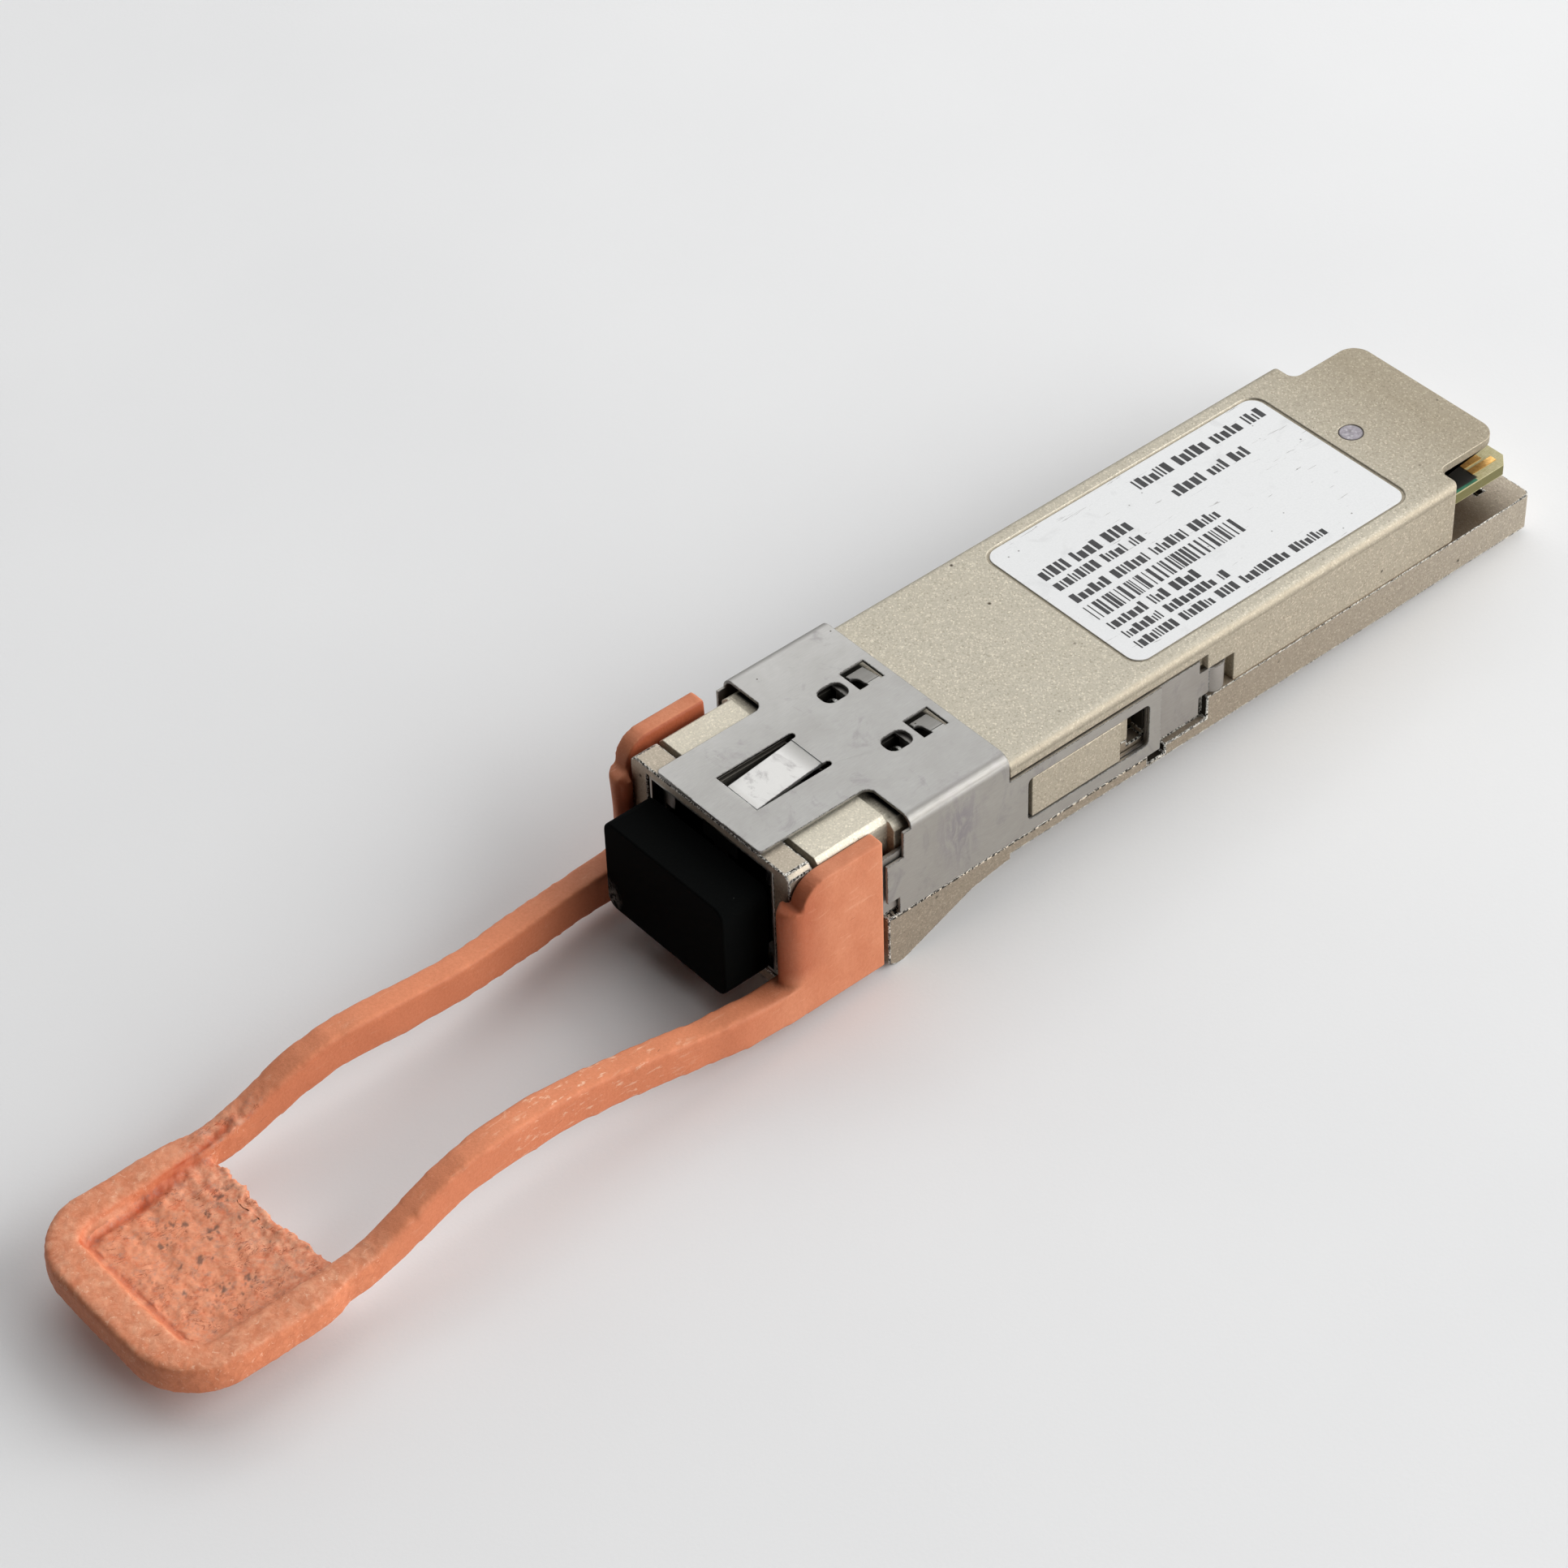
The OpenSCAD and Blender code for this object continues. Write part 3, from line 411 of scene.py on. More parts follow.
def card_laminate():
    """Circuit board: green solder mask, bare yellowish laminate at the card edge and on the sides."""
    s = Shade("board_laminate", Specular_IOR_Level=0.5)
    x, y, z = s.along(), s.across(), s.axis(2)
    weave = s.both(s.noise(3, 2, 0.5, stretch=(1, 9, 9)), s.noise(3, 2, 0.5, stretch=(9, 1, 9)))
    bare = s.mix(s.remap(weave, 0.15, 0.35), (0.36, 0.32, 0.14), (0.52, 0.47, 0.27))
    mask = s.mix(s.remap(s.noise(1.5, 3, 0.6), 0.3, 0.7), (0.012, 0.11, 0.06), (0.02, 0.20, 0.11))
    inner = s.both(s.remap(z, CARD_LOW + 0.04, CARD_LOW + 0.08), s.fall(z, CARD_TOP - 0.08, CARD_TOP - 0.04))
    faces = s.maths("SUBTRACT", 1, inner)
    tone = s.paint(bare, mask, s.remap(x, 4.6, 4.7), s.fall(y, CARD_HALF - 0.08, CARD_HALF - 0.04), faces)
    tone = s.paint(tone, (0.13, 0.115, 0.025), inner, s.remap(y, CARD_HALF - 0.15, CARD_HALF - 0.05))
    # the top of the board is near-black under the rear of the cover, from 4.4 mm on
    black = s.both(s.remap(x, 4.4, 4.5), s.fall(y, CARD_HALF - 0.35, CARD_HALF - 0.25))
    s.colour(s.paint(tone, (0.006, 0.007, 0.007), black, faces))
    s.rough(s.remap(weave, 0.1, 0.4, 0.30, 0.48))
    s.bump(weave, 0.03, 0.4)
    return s


def gold_plate():
    """Hard gold of the card contacts, slightly tarnished."""
    s = Shade("hard_gold", Metallic=0.9)
    tarnish = s.noise(3.5, 4, 0.6)
    s.colour(s.mix(s.remap(tarnish, 0.35, 0.7), (0.80, 0.50, 0.17), (0.55, 0.30, 0.09)))
    s.rough(s.remap(tarnish, 0.3, 0.7, 0.25, 0.42))
    s.bump(tarnish, 0.02, 0.3)
    return s


def seal_compound():
    """Speckled grey-lilac filler over the cover screw, dark round its rim."""
    s = Shade("seal_compound", Specular_IOR_Level=0.35)
    fleck = s.cells(5.5, "Color")
    cloud = s.noise(2.6, 4, 0.65)
    radius = s.distance((SEAL_X, 0, 0), (1, 1, 0))
    tone = s.mix(s.remap(cloud, 0.35, 0.65), (0.24, 0.22, 0.24), (0.42, 0.39, 0.43))
    tone = s.paint(tone, (0.60, 0.58, 0.60), s.remap(fleck, 0.62, 0.8, 0, 0.5))
    s.colour(s.paint(tone, (0.09, 0.08, 0.08), s.remap(radius, 0.74, 0.86)))
    s.rough(s.remap(cloud, 0.3, 0.7, 0.5, 0.8))
    s.bump(cloud, 0.08, 0.5)
    return s


def rubbed_rubber(s, fine, blotch):
    """Tone of the whole tab: redder pads, paler arms and crests, streaks, scrapes and dark hairlines."""
    x = s.along()
    rim = s.value("rim")
    body = s.mix(s.remap(s.noise(0.35, 4, 0.55), 0.35, 0.68), (0.56, 0.190, 0.092), (0.64, 0.245, 0.128))
    body = s.paint(body, (0.78, 0.270, 0.130), s.remap(x, ARM_X + 1, ARM_X + 7), 0.75)
    tone = s.paint(body, (0.50, 0.160, 0.075), s.remap(fine, 0.35, 0.7, 0, 0.3))
    tone = s.paint(tone, (0.80, 0.42, 0.26), s.value("crest"), s.remap(blotch, 0.34, 0.66, 0.12, 0.9))
    streak = s.noise(1.3, 5, 0.68, 0.5, stretch=(0.35, 2.2, 2.2), turn=(0, 8, 12))
    tone = s.paint(tone, (0.80, 0.44, 0.28), s.remap(streak, 0.60, 0.70, 0, 0.35))
    mottle = s.noise(1.3, 5, 0.72, 0.8, shift=(4, 1, 2))
    tone = s.paint(tone, (0.58, 0.175, 0.078), rim, s.remap(mottle, 0.40, 0.60, 0.15, 1), 0.72)
    fleck = s.noise(2.6, 4, 0.75, 0.9, shift=(1, 5, 3))
    tone = s.paint(tone, (0.88, 0.55, 0.38), rim, s.remap(fleck, 0.60, 0.66), 0.55)
    # pale scrapes on the near arm
    scrape = s.noise(1.0, 5, 0.7, 0.3, stretch=(0.8, 2.6, 2.6), turn=(0, 0, -35), shift=(2, 7, 0))
    near_arm = s.both(s.between(x, ARM_X + 9, ARM_X + 22, 2), s.remap(s.axis(1), 4, 5))
    tone = s.paint(tone, (0.90, 0.60, 0.42), near_arm, s.remap(scrape, 0.57, 0.64), 0.75)
    hair = s.noise(0.9, 5, 0.65, 1.4, stretch=(0.5, 1.0, 2.6), turn=(10, 25, 15))
    return s.paint(tone, (0.22, 0.055, 0.025), s.remap(hair, 0.69, 0.71, 0, 0.55))


def web_slits(s, torn):
    """Thin dark tears in the web, along the middle line of a noise."""
    slit = s.noise(0.80, 5, 0.65, 0.9, stretch=(0.55, 1.35, 1.0), turn=(0, 0, 18))
    slit = s.fall(s.maths("ABSOLUTE", s.maths("SUBTRACT", slit, 0.5)), 0.004, 0.016)
    gate = s.remap(s.noise(0.85, 3, 0.55, shift=(9, 2, 4)), 0.50, 0.58)
    return s.both(slit, gate, s.remap(torn, 0.15, 0.4))


def tab_rubber():
    """Salmon thermoplastic rubber: paler rubbed crests, painted dark red shade in hollows and in the groove,
    a torn dusty web and specks.
    """
    s = Shade("tab_rubber", Specular_IOR_Level=0.28)
    fine = s.noise(5, 4, 0.65)
    blotch = s.noise(1.1, 5, 0.65)
    torn = s.value("torn")
    slits = web_slits(s, torn)
    film = s.mix(s.remap(s.noise(2.1, 4, 0.7), 0.38, 0.62), (0.66, 0.215, 0.110), (0.82, 0.42, 0.265))
    tone = s.paint(rubbed_rubber(s, fine, blotch), film, torn)
    # painted shade in hollows and on the shaded faces of the pads and arms, with the dark of the cracks
    tone = s.paint(tone, (0.34, 0.070, 0.024), s.value("hollow"))
    red = s.remap(s.noise(0.75, 5, 0.7, 0.6, shift=(8, 2, 0)), 0.54, 0.64)
    tone = s.paint(tone, (0.60, 0.125, 0.045), s.remap(torn, 0.1, 0.4), red, 0.55)
    # painted shade in the groove along the far rim and in a dark line along the front of the web
    tone = s.paint(tone, (0.47, 0.085, 0.028), s.value("groove"))
    tone = s.paint(tone, (0.26, 0.050, 0.018), slits, 0.85)
    dust = s.remap(s.noise(1.7, 5, 0.7, shift=(3, 1, 6)), 0.52, 0.66, 0, 0.35)
    tone = s.paint(tone, (0.30, 0.23, 0.20), dust, s.remap(torn, 0.1, 0.3))
    s.colour(s.paint(tone, (0.060, 0.048, 0.040), s.value("grime")))
    s.rough(s.remap(fine, 0.3, 0.7, 0.50, 0.70))
    s.bump(fine, 0.06, 0.3)
    s.bump(blotch, 0.20, 0.25)
    s.bump(slits, 0.15, -0.6)
    return s


def plug_rubber():
    """Near-black moulded rubber with a faint dusting, a scuffed corner and a few white specks."""
    s = Shade("plug_rubber", Specular_IOR_Level=0.04)
    fine = s.noise(9, 4, 0.7)
    corner = s.fall(s.distance((PLUG_X, -5.9, 0.6)), 0.5, 1.5)
    dust = s.specks(1.1, (0.02, 0.05), s.noise(0.8, 2, 0.5, shift=(5, 1, 2)), 0.55, 0.62)
    tone = s.mix(s.remap(fine, 0.3, 0.7), (0.0014, 0.0016, 0.0016), (0.0034, 0.0040, 0.0038))
    tone = s.paint(tone, (0.16, 0.16, 0.15), corner, s.remap(s.noise(2.4, 4, 0.7), 0.42, 0.55))
    s.colour(s.paint(tone, (0.30, 0.31, 0.27), dust))
    s.rough(s.remap(fine, 0.3, 0.7, 0.8, 0.95))
    s.bump(fine, 0.04, 0.35)
    return s


def table_top():
    """Pale matte table."""
    s = Shade("table_top", Specular_IOR_Level=0.3)
    cloud = s.noise(0.02, 3, 0.5)
    tooth = s.noise(3.5, 4, 0.6)
    s.colour(s.mix(s.remap(cloud, 0.3, 0.7), (0.80, 0.803, 0.808), (0.84, 0.843, 0.846)))
    s.rough(s.remap(tooth, 0.3, 0.7, 0.62, 0.72))
    s.bump(tooth, 0.05, 0.15)
    return s


# ---------- finish on the CAD nodes ----------


ROUNDED_OVER = 32  # degrees between two faces whose edge is rounded
SHARP_OVER = 50  # degrees between two faces whose edge is shaded sharp


def smooth_group(limit):
    """Geometry nodes that shade a mesh smooth apart from edges sharper than the limit."""
    group = bpy.data.node_groups.new("shade_smooth", "GeometryNodeTree")
    group.interface.new_socket("Geometry", in_out="INPUT", socket_type="NodeSocketGeometry")
    group.interface.new_socket("Geometry", in_out="OUTPUT", socket_type="NodeSocketGeometry")
    start = group.nodes.new("NodeGroupInput")
    end = group.nodes.new("NodeGroupOutput")
    faces = group.nodes.new("GeometryNodeSetShadeSmooth")
    group.links.new(start.outputs[0], faces.inputs["Geometry"])
    angle = group.nodes.new("GeometryNodeInputMeshEdgeAngle")
    gentle = group.nodes.new("FunctionNodeCompare")
    gentle.operation = "LESS_THAN"
    gentle.inputs[1].default_value = math.radians(limit)
    group.links.new(angle.outputs["Unsigned Angle"], gentle.inputs[0])
    edges = group.nodes.new("GeometryNodeSetShadeSmooth")
    edges.domain = "EDGE"
    group.links.new(faces.outputs[0], edges.inputs["Geometry"])
    group.links.new(gentle.outputs[0], edges.inputs["Shade Smooth"])
    group.links.new(edges.outputs[0], end.inputs[0])
    return group


SMOOTH = smooth_group(SHARP_OVER)


def dress(node, shade, edge_mm=0.0, edge=None, segments=2):
    """Gives a CAD node its material and rounds its edges, with an edge material if there is one."""
    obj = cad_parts[node]
    obj.data.materials.clear()
    obj.data.materials.append(shade.material)
    weld = obj.modifiers.new("weld", "WELD")
    weld.merge_threshold = 0.001 * MM
    flat = obj.modifiers.new("flat_faces", "DECIMATE")
    flat.decimate_type = "DISSOLVE"
    flat.angle_limit = math.radians(0.3)
    if edge_mm:
        bevel = obj.modifiers.new("edges", "BEVEL")
        bevel.width = edge_mm * MM
        bevel.segments = segments
        bevel.limit_method = "ANGLE"
        bevel.angle_limit = math.radians(ROUNDED_OVER)
        bevel.use_clamp_overlap = False
        if edge:
            obj.data.materials.append(edge.material)
            bevel.material = 1
    obj.modifiers.new("smooth", "NODES").node_group = SMOOTH
    normals = obj.modifiers.new("normals", "WEIGHTED_NORMAL")
    normals.weight = 100
    normals.keep_sharp = True


def dress_module():
    """Materials of the rigid nodes, from the outside in."""
    nickel = upper_nickel()
    # the lower shell's edges: bright painted glints with some wear, near black between them
    dress("base_shell", lower_nickel(), 0.12, edge_glints_and_wear("nickel_edge_glints_and_wear", (0.95, 0.92, 0.84), 0.03))
    dress("label_cover", nickel, 0.07, nickel)
    # the sheet's edges are dark: painted shade with some grime on the rolled edges
    steel_edge = edge_glints_and_wear("steel_edge", (0.42, 0.41, 0.39), 0.45, hinge=(0.47, 0.47, 0.465))
    dress("emi_sleeve", sheet_steel("sleeve_steel", (0.47, 0.465, 0.452)), 0.05, steel_edge)
    dress("latch_slider", sheet_steel("slider_steel", (0.43, 0.42, 0.41)), 0.04, steel_edge)
    dress("product_label", label_paper(), 0.02)
    dress("cover_screw", plain_rough("screw_steel", (0.48, 0.48, 0.48), 0.35, metal=1.0))
    dress("screw_seal", seal_compound(), 0.08, segments=3)
    dress("dust_plug", plug_rubber(), 0.16, segments=3)
    dress("lc_port_frame", plain_rough("port_insert", (0.42, 0.41, 0.38), 0.36, metal=0.9), 0.06)
    gasket = plain_rough("conductive_gasket", (0.09, 0.09, 0.095), 0.6)
    dress("port_gasket", gasket, 0.05)
    dress("seam_gaskets", gasket, 0.05)

    dress("main_board", card_laminate(), 0.03)
    gold = gold_plate()
    for row in ("top", "bottom"):
        dress("card_contacts_" + row, gold)
    moulding = plain_rough("chip_moulding", (0.02, 0.02, 0.022), 0.5, grain=12)
    for chip in ("controller", "driver", "receiver"):
        dress(chip + "_chip", moulding, 0.04)
    dress("board_capacitors", plain_rough("capacitor_body", (0.42, 0.30, 0.18), 0.45, grain=10), 0.03)
    dress("thermal_pads", plain_rough("gap_pad", (0.30, 0.40, 0.48), 0.7), 0.1)

    gold_box = plain_rough("gold_package", (0.76, 0.60, 0.30), 0.3, metal=1.0)
    amber_film = plain_rough("amber_film", (0.62, 0.28, 0.04), 0.3)
    for end in ("transmitter", "receiver"):
        dress(end + "_assembly", gold_box, 0.08)
        dress(end + "_flex", amber_film, 0.03)
    barrel_steel = plain_rough("barrel_steel", (0.68, 0.68, 0.67), 0.25, metal=1.0)
    for barrel in ("tx", "rx"):
        dress(barrel + "_receptacle", barrel_steel, 0.05)
    dress("fibre_stubs", plain_rough("zirconia", (0.84, 0.84, 0.81), 0.2, spread=0.05), 0.03)
    dress("optics_clamp", plain_rough("clamp_alloy", (0.45, 0.45, 0.46), 0.4, metal=1.0), 0.05)


# ---------- latch springs ----------


def add_piece(name, mesh, body, shade):
    """A mesh of the visual model that moves with one body of the frame."""
    obj = bpy.data.objects.new(name, mesh)
    bpy.context.scene.collection.objects.link(obj)
    mesh.materials.clear()
    mesh.materials.append(shade.material)
    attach(obj, body)
    return obj


def latch_spring(side, wire):
    """A smooth-shaded copy of a latch spring's coil, fixed to the module."""
    node = "latch_spring_" + side
    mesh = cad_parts[node].data.copy()
    mesh.polygons.foreach_set("use_smooth", [True] * len(mesh.polygons))
    obj = add_piece("coil_" + side, mesh, "module", wire)
    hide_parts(node)
    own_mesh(obj)


# ---------- pull tab ----------


VOXEL = 0.15  # mm between the points of the tab's mesh


def even_mesh(node):
    """A node's shape as small even faces, in mm from the rear end."""
    shape = bmesh.new()
    shape.from_mesh(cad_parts[node].data)
    bmesh.ops.remove_doubles(shape, verts=shape.verts, dist=0.001 * MM)
    bmesh.ops.scale(shape, vec=(1 / MM,) * 3, verts=shape.verts)
    bmesh.ops.translate(shape, vec=(DATUM_X, 0, 0), verts=shape.verts)
    mesh = bpy.data.meshes.new("tab_shape")
    shape.to_mesh(mesh)
    shape.free()
    holder = bpy.data.objects.new("tab_holder", mesh)
    bpy.context.scene.collection.objects.link(holder)
    remesh = holder.modifiers.new("voxels", "REMESH")
    remesh.mode = "VOXEL"
    remesh.voxel_size = VOXEL
    mesh = bpy.data.meshes.new_from_object(holder.evaluated_get(bpy.context.evaluated_depsgraph_get()))
    bpy.data.objects.remove(holder)
    return mesh


def rise(values, low, high):
    """0 below the lower limit and 1 above the upper one, smooth between them."""
    t = np.clip((values - low) / (high - low), 0, 1)
    return t * t * (3 - 2 * t)


def drop(values, low, high):
    """1 below the lower limit and 0 above the upper one, smooth between them."""
    return rise(-values, -high, -low)


def fractal(points, scale, octaves=3, seed=0.0):
    """Smooth noise in about -1..1 at each point."""
    shift = Vector((seed, seed * 1.7, seed * 2.3))
    return np.array([noise.fractal(Vector(p) * scale + shift, 0.7, 2.1, octaves) for p in points])


class Skin:
    """The points of a mesh, in mm, and what joins them."""

    def __init__(self, mesh):
        self.mesh = mesh
        points = np.empty(len(mesh.vertices) * 3)
        mesh.vertices.foreach_get("co", points)
        self.points = points.reshape(-1, 3)
        edges = np.empty(len(mesh.edges) * 2, np.int64)
        mesh.edges.foreach_get("vertices", edges)
        self.edges = edges.reshape(-1, 2)
        self.count = np.bincount(edges, minlength=len(self.points)).astype(float)

    def mean(self, values):
        """Mean of the neighbours' values at each point."""
        first, second = self.edges.T
        out = np.empty_like(values)
        for k in range(values.shape[1]):
            out[:, k] = (np.bincount(first, values[second, k], len(values))
                         + np.bincount(second, values[first, k], len(values)))
        return out / self.count[:, None]

    def relax(self, share):
        """Moves each point a share of the way to the middle of its neighbours."""
        self.points += share * (self.mean(self.points) - self.points)

    def normals(self):
        self.mesh.vertices.foreach_set("co", self.points.ravel())
        self.mesh.update()
        found = np.empty(self.points.size)
        self.mesh.vertex_normals.foreach_get("vector", found)
        return found.reshape(-1, 3)

    def bend(self, direction):
        """Positive on crests and negative in hollows, evened out a little."""
        values = ((self.points - self.mean(self.points)) * direction).sum(1) / VOXEL
        for _ in range(4):
            values = 0.5 * values + 0.5 * self.mean(values[:, None])[:, 0]
        return values

    def mark(self, name, values):
        """Keeps a value at each point for the material."""
        layer = self.mesh.attributes.new(name, "FLOAT", "POINT")
        layer.data.foreach_set("value", values.astype(np.float32))


def soften(skin):
    """Rounds the pads a little, the arms more and the loop most."""
    x = skin.points[:, 0]
    soft = 0.35 + 0.65 * rise(x, ARM_X, ARM_X + 3)
    for start, rounds in ((-math.inf, 4), (ARM_X + 0.5, 5), (LOOP_X - 1, 15)):
        for _ in range(rounds):
            skin.relax(np.where(x > start, soft, 0.0)[:, None] * 0.6)


def tear_back_edge(skin):
    """The back edge of the web is torn and slightly concave, and flares into both arms."""
    x, y, z = skin.points.T
    inside = drop(np.abs(y), WEB_HALF + 0.1, WEB_HALF + 0.9) * rise(x, WEB_REAR - 0.6, WEB_REAR)
    inside *= drop(z, -1.2, -0.9)
    back = WEB_REAR + 1.1 - 0.016 * (y + 1) ** 2 + 0.22 * fractal(skin.points * (0, 1, 0), 1.1, 4, 44.0)
    skin.points[:, 0] = np.where((inside > 0.5) & (x < back + 0.8), back + 0.5 * (x - WEB_REAR), x)


def carve(skin):
    """Flakes, cracks and creases of the web, nibs on the edges and waves in the arms."""
    points = skin.points
    out = skin.normals()
    curve = skin.bend(out)
    x, y, z = points.T
    loop = rise(x, LOOP_X, LOOP_X + 3)
    web = loop * drop(np.abs(y), WEB_HALF, WEB_HALF + 0.9) * drop(x, WEB_FRONT, WEB_FRONT + 1.2)
    web *= drop(z, -1.3, -0.9)
    # the corner of the far arm is torn as well
    root = np.exp(-((x - WEB_REAR) ** 2 / 9 + (y + 6.4) ** 2 / 3)) * rise(z, -2.4, -1.6)
    web = np.clip(web + root, 0, 1) * rise(out[:, 2], 0.1, 0.6)
    tear_back_edge(skin)
    ragged = np.clip(drop(x, 104.5, 109.5) + root, 0, 1)
    coarse = fractal(points, 0.55, 4, 3.1)
    flakes = np.clip(np.abs(fractal(points * (0.55, 1.5, 1.0), 1.0, 4, 9.4)) - 0.22, 0, 1)
    gate = rise(fractal(points, 0.4, 2, 17.0), -0.05, 0.35)
    cracks = web * drop(np.abs(fractal(points * (0.8, 1.3, 1.0), 0.95, 3, 52.0)), 0.015, 0.06) * gate
    # a groove runs along the inside of the far rim
    groove = np.exp(-((y + 6.55 - 0.13 * (x - 104.9)) / 0.34) ** 2)
    groove *= rise(x, LOOP_X + 0.5, WEB_REAR + 0.5) * drop(x, WEB_FRONT, WEB_FRONT + 1.2)
    groove *= rise(z, -2.6, -2.0) * rise(out[:, 2], 0.0, 0.5)
    crease = drop(np.abs(fractal(points * (0.5, 1.25, 1.0), 0.75, 3, 88.0)), 0.02, 0.16)
    lift = web * (0.14 * coarse + (0.03 + 0.22 * ragged) * flakes + 0.07 * crease
                  + 0.40 * rise(x, WEB_FRONT - 4.5, WEB_FRONT - 0.2))
    lift -= 0.04 * cracks + 0.22 * groove
    wobble = fractal(points, 0.22, 2, 5.5) * 0.10 * rise(x, ARM_X + 1, ARM_X + 5)
    crest = rise(curve, 0.05, 0.16)
    nibs = crest * rise(fractal(points, 1.6, 3, 12.8), 0.42, 0.75) * 0.16 * rise(x, ARM_X, ARM_X + 2)
    rim_grain = loop * (1 - web) * fractal(points, 2.2, 3, 21.0) * 0.035
    points += out * (lift + wobble + nibs + rim_grain)[:, None]
    return loop, web, ragged, cracks, groove, crest


def lean_far_pad(skin):
    """The far pad leans out and stands a little higher, and the loop lies a little to the near side."""
    x, y, z = skin.points.T
    y += 0.35 * rise(x, 96, 106)
    lean = drop(y, -7.8, -7.6) * drop(x, ARM_X, ARM_X + 1.5) * rise(z, 4, 9)
    y -= 0.35 * lean
    z += 0.45 * lean
    skin.points[:, 2] = np.clip(z, TAB_LOW, SLEEVE_TOP)
    skin.points[:, 0] = np.minimum(x, TAB_FRONT)
    skin.relax(0.25)


def mark_tab(skin, loop, web, ragged, cracks, groove, crest):
    """Values for the tab's material: crests, painted shade in hollows and in the groove, the rim, the torn
    web and its grime.
    """
    points = skin.points
    out = skin.normals()
    curve = skin.bend(out)
    x, y, z = points.T
    rim = loop * (1 - web)
    # painted shade on the inner cheek of the far pad, the front of the near pad and the sides of the arms
    cheek = rise(out[:, 1], 0.3, 0.7) * drop(y, -7.5, -7.2) * drop(x, ARM_X - 0.2, ARM_X + 0.6)
    front = rise(x, 65.0, 68.3) * drop(x, ARM_X + 0.4, ARM_X + 1.4) * rise(z, 0.8, 2.2) * rise(y, -1, 1)
    sides = rise(x, ARM_X + 0.5, ARM_X + 4) * drop(x, 99, 103) * rise(np.abs(out[:, 1]), 0.45, 0.9)
    shaded = cheek * 0.85 + front * 0.62 + sides * 0.30
    # painted shade in a dark line along the front of the web
    foot = np.exp(-((x - WEB_FRONT - 0.25) / 0.32) ** 2) * drop(np.abs(y - 0.35), 5.6, 6.3)
    foot *= rise(out[:, 2], 0.0, 0.4) * rise(fractal(points, 0.9, 3, 36.0), -0.45, 0.1) * rise(z, -2.6, -2.0)
    worn = crest * (0.35 + 0.65 * rise(x, ARM_X, ARM_X + 7)) + rise(curve, 0.1, 0.3) * 0.4
    broken = 0.7 + 0.3 * rise(fractal(points, 1.3, 3, 71.0), -0.2, 0.2)
    patch = np.exp(-((x - 107.5) ** 2 / 30 + (y - 0.6) ** 2 / 22))
    skin.mark("crest", np.clip(worn + 0.8 * rim * rise(out[:, 2], 0.35, 0.8), 0, 1))
    skin.mark("hollow", np.clip(drop(curve, -0.28, -0.10) * 0.75 + 0.5 * cracks + shaded, 0, 1))
    skin.mark("groove", np.clip(groove * broken + 0.6 * foot, 0, 1))
    skin.mark("rim", rim)
    skin.mark("torn", web * (0.35 + 0.4 * ragged))
    skin.mark("grime", web * rise(fractal(points, 1.05, 4, 31.0), 0.50, 0.68) * rise(patch, 0.15, 0.5) * 0.7)


def pull_tab():
    """The soft moulding: rounded wavy arms, nibbed edges and a torn web inside the loop."""
    mesh = even_mesh("pull_tab")
    skin = Skin(mesh)
    soften(skin)
    masks = carve(skin)
    lean_far_pad(skin)
    mark_tab(skin, *masks)
    skin.points = (skin.points - (DATUM_X, 0, 0)) * MM
    mesh.vertices.foreach_set("co", skin.points.ravel())
    mesh.update()
    mesh.polygons.foreach_set("use_smooth", [True] * len(mesh.polygons))
    obj = add_piece("pull_tab_moulding", mesh, "latch", tab_rubber())
    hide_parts("pull_tab")


# ---------- label print ----------


def flat_block(shape, x0, x1, y0, y1):
    """A rectangle of ink just above the label."""
    z = LABEL_TOP + 0.008
    corners = ((x0, y0), (x1, y0), (x1, y1), (x0, y1))
    shape.faces.new([shape.verts.new(((x - DATUM_X) * MM, y * MM, z * MM)) for x, y in corners])


def block_row(shape, pick, start, end, base, cap):
    """Blocks of uneven width and height, in groups, from the start of a line to its end."""
    x = start
    left = pick.randint(4, 9)
    while x > end:
        wide = pick.choice((0.14, 0.28, 0.40, 0.46)) * cap
        high = cap * pick.choice((1.0, 1.0, 0.84, 0.72))
        flat_block(shape, x - wide, x, base - high, base)
        x -= wide + 0.16 * cap
        left -= 1
        if not left:
            x -= 0.45
            left = pick.randint(4, 10)


def stripe_row(shape, pick, start, end, top, bottom):
    """Upright stripes of uneven width and spacing."""
    x = start
    while x > end:
        wide = pick.choice((0.09, 0.12, 0.2, 0.3))
        flat_block(shape, x - wide, x, top, bottom)
        x -= wide + pick.choice((0.1, 0.13, 0.2, 0.3))


def label_print():
    """Generic print: rows of plain blocks and a row of plain stripes. Nothing on it can be read."""
    pick = random.Random(40)
    shape = bmesh.new()
    rows = (  # from and to along the body, baseline across it, height of the blocks
        (24.3, 12.4, -5.4, 1.12),
        (22.9, 15.8, -3.1, 1.08),
        (35.8, 27.2, -2.7, 1.12),
        (35.8, 27.7, -1.3, 0.98),
        (35.8, 22.3, 0.4, 0.98),
        (35.85, 28.0, 4.0, 1.0),
        (35.7, 26.2, 5.3, 0.88),
        (35.8, 18.3, 6.6, 0.88),
    )
    for row in rows:
        block_row(shape, pick, *row)
    stripe_row(shape, pick, 35.9, 22.2, 0.95, 2.6)
    mesh = bpy.data.meshes.new("label_print")
    shape.normal_update()
    for face in shape.faces:
        if face.normal.z < 0:
            face.normal_flip()
    shape.to_mesh(mesh)
    shape.free()
    ink = plain_rough("print_ink", (0.035, 0.035, 0.037), 0.6, grain=5, spread=0.5)
    add_piece("label_print", mesh, "module", ink)


# ---------- table, light and camera ----------


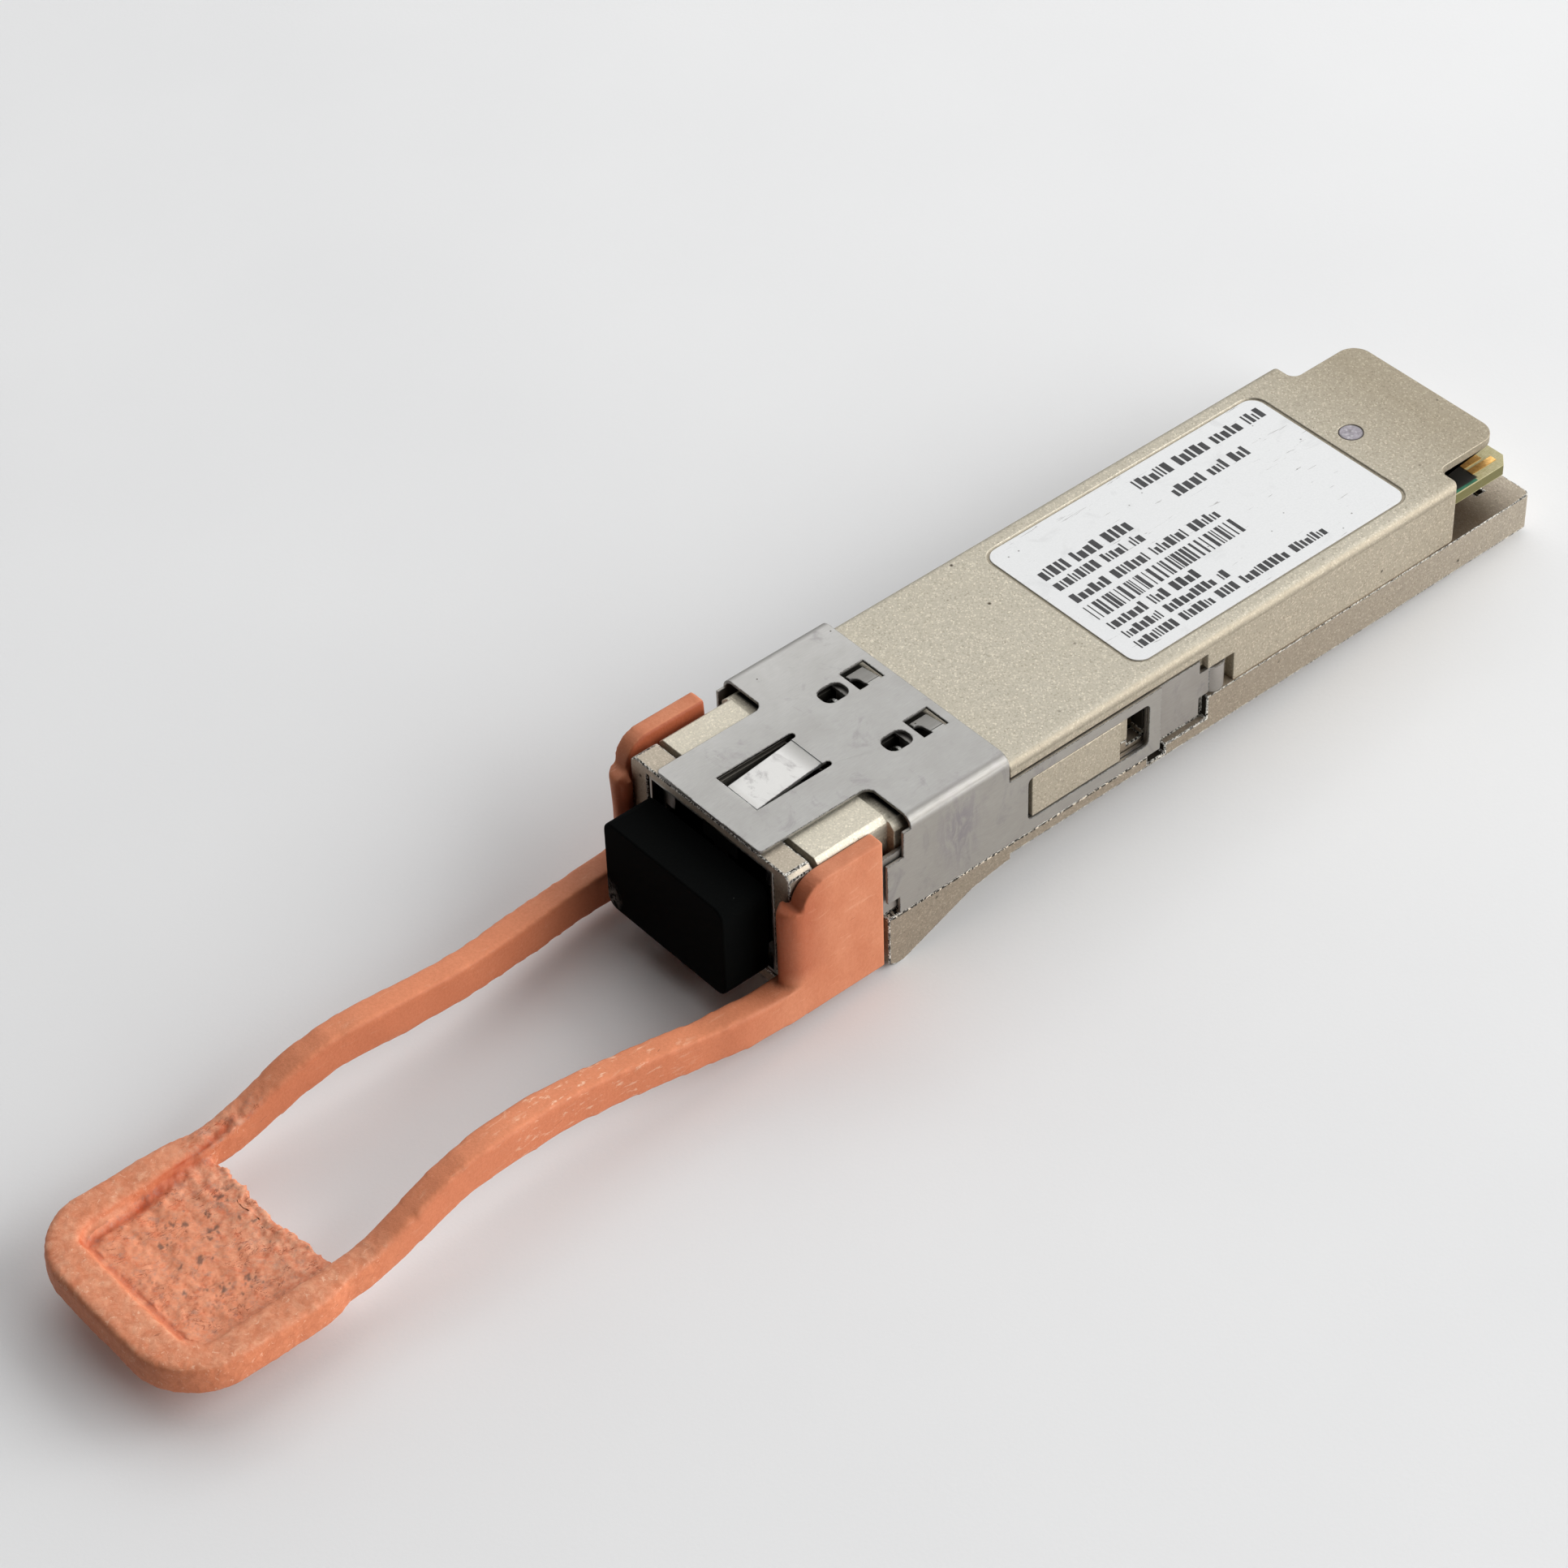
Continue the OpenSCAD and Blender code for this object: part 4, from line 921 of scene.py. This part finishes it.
def floor():
    """Table under the module, which leans on its rear edge and on the bottom of its nose."""
    rear, nose = ((foot - Vector((DATUM_X, 0, 0))) * MM for foot in (REAR_FOOT, NOSE_FOOT))
    along = (nose - rear).normalized()
    across = Vector((0, 1, 0))
    up = along.cross(across).normalized()
    shape = bmesh.new()
    bmesh.ops.create_circle(shape, cap_ends=True, segments=96, radius=2.5)
    mesh = bpy.data.meshes.new("table_top")
    shape.to_mesh(mesh)
    shape.free()
    obj = bpy.data.objects.new("table_top", mesh)
    mesh.materials.append(table_top().material)
    turn = Matrix((along, across, up)).transposed().to_4x4()
    obj.matrix_world = Matrix.Translation(nose - up * 0.02 * MM) @ turn
    bpy.context.scene.collection.objects.link(obj)


def area_light(name, place, size, power):
    """A white panel aimed at the middle of the module."""
    lamp = bpy.data.lights.new(name, "AREA")
    lamp.shape = "RECTANGLE"
    lamp.size, lamp.size_y = size
    lamp.energy = power
    obj = bpy.data.objects.new(name, lamp)
    obj.location = place
    obj.rotation_mode = "QUATERNION"
    obj.rotation_quaternion = (Vector((0.03, 0, 0)) - Vector(place)).to_track_quat("-Z", "Y")
    bpy.context.scene.collection.objects.link(obj)


def dark_world():
    """No light but the panels."""
    world = bpy.data.worlds.new("studio")
    world.use_nodes = True
    world.node_tree.nodes["Background"].inputs["Strength"].default_value = 0
    bpy.context.scene.world = world


def camera():
    """The photograph's camera, solved from the straight edges of the body."""
    data = bpy.data.cameras.new("camera")
    data.sensor_width = 36
    data.lens = 105.29
    data.shift_x, data.shift_y = -0.0071, -0.0099
    data.clip_start, data.clip_end = 0.01, 20
    obj = bpy.data.objects.new("camera", data)
    ahead = Vector((-0.46738, -0.56654, -0.67868)).normalized()
    right = ahead.cross(Vector((-0.45842, -0.50109, 0.73400))).normalized()
    up = right.cross(ahead)
    turn = Matrix((right, up, -ahead)).transposed().to_4x4()
    obj.matrix_world = Matrix.Translation((0.172643, 0.168487, 0.210397)) @ turn
    bpy.context.scene.collection.objects.link(obj)
    bpy.context.scene.camera = obj


dress_module()
spring_wire = plain_rough("spring_wire", (0.80, 0.80, 0.78), 0.22, metal=1.0, grain=6)
latch_spring("left", spring_wire)
latch_spring("right", spring_wire)
pull_tab()
label_print()
floor()
dark_world()
area_light("key", (-0.12, -0.35, 0.80), (0.8, 0.8), 2.12)
area_light("rear", (-0.75, 0.05, 0.55), (1.3, 0.9), 5.85)
area_light("side_rear", (-0.45, 0.65, 0.40), (1.2, 0.7), 10.8)
area_light("far_side", (-0.10, -0.80, 0.45), (1.2, 0.8), 2.80)
camera()
bpy.context.scene.view_settings.view_transform = "Standard"
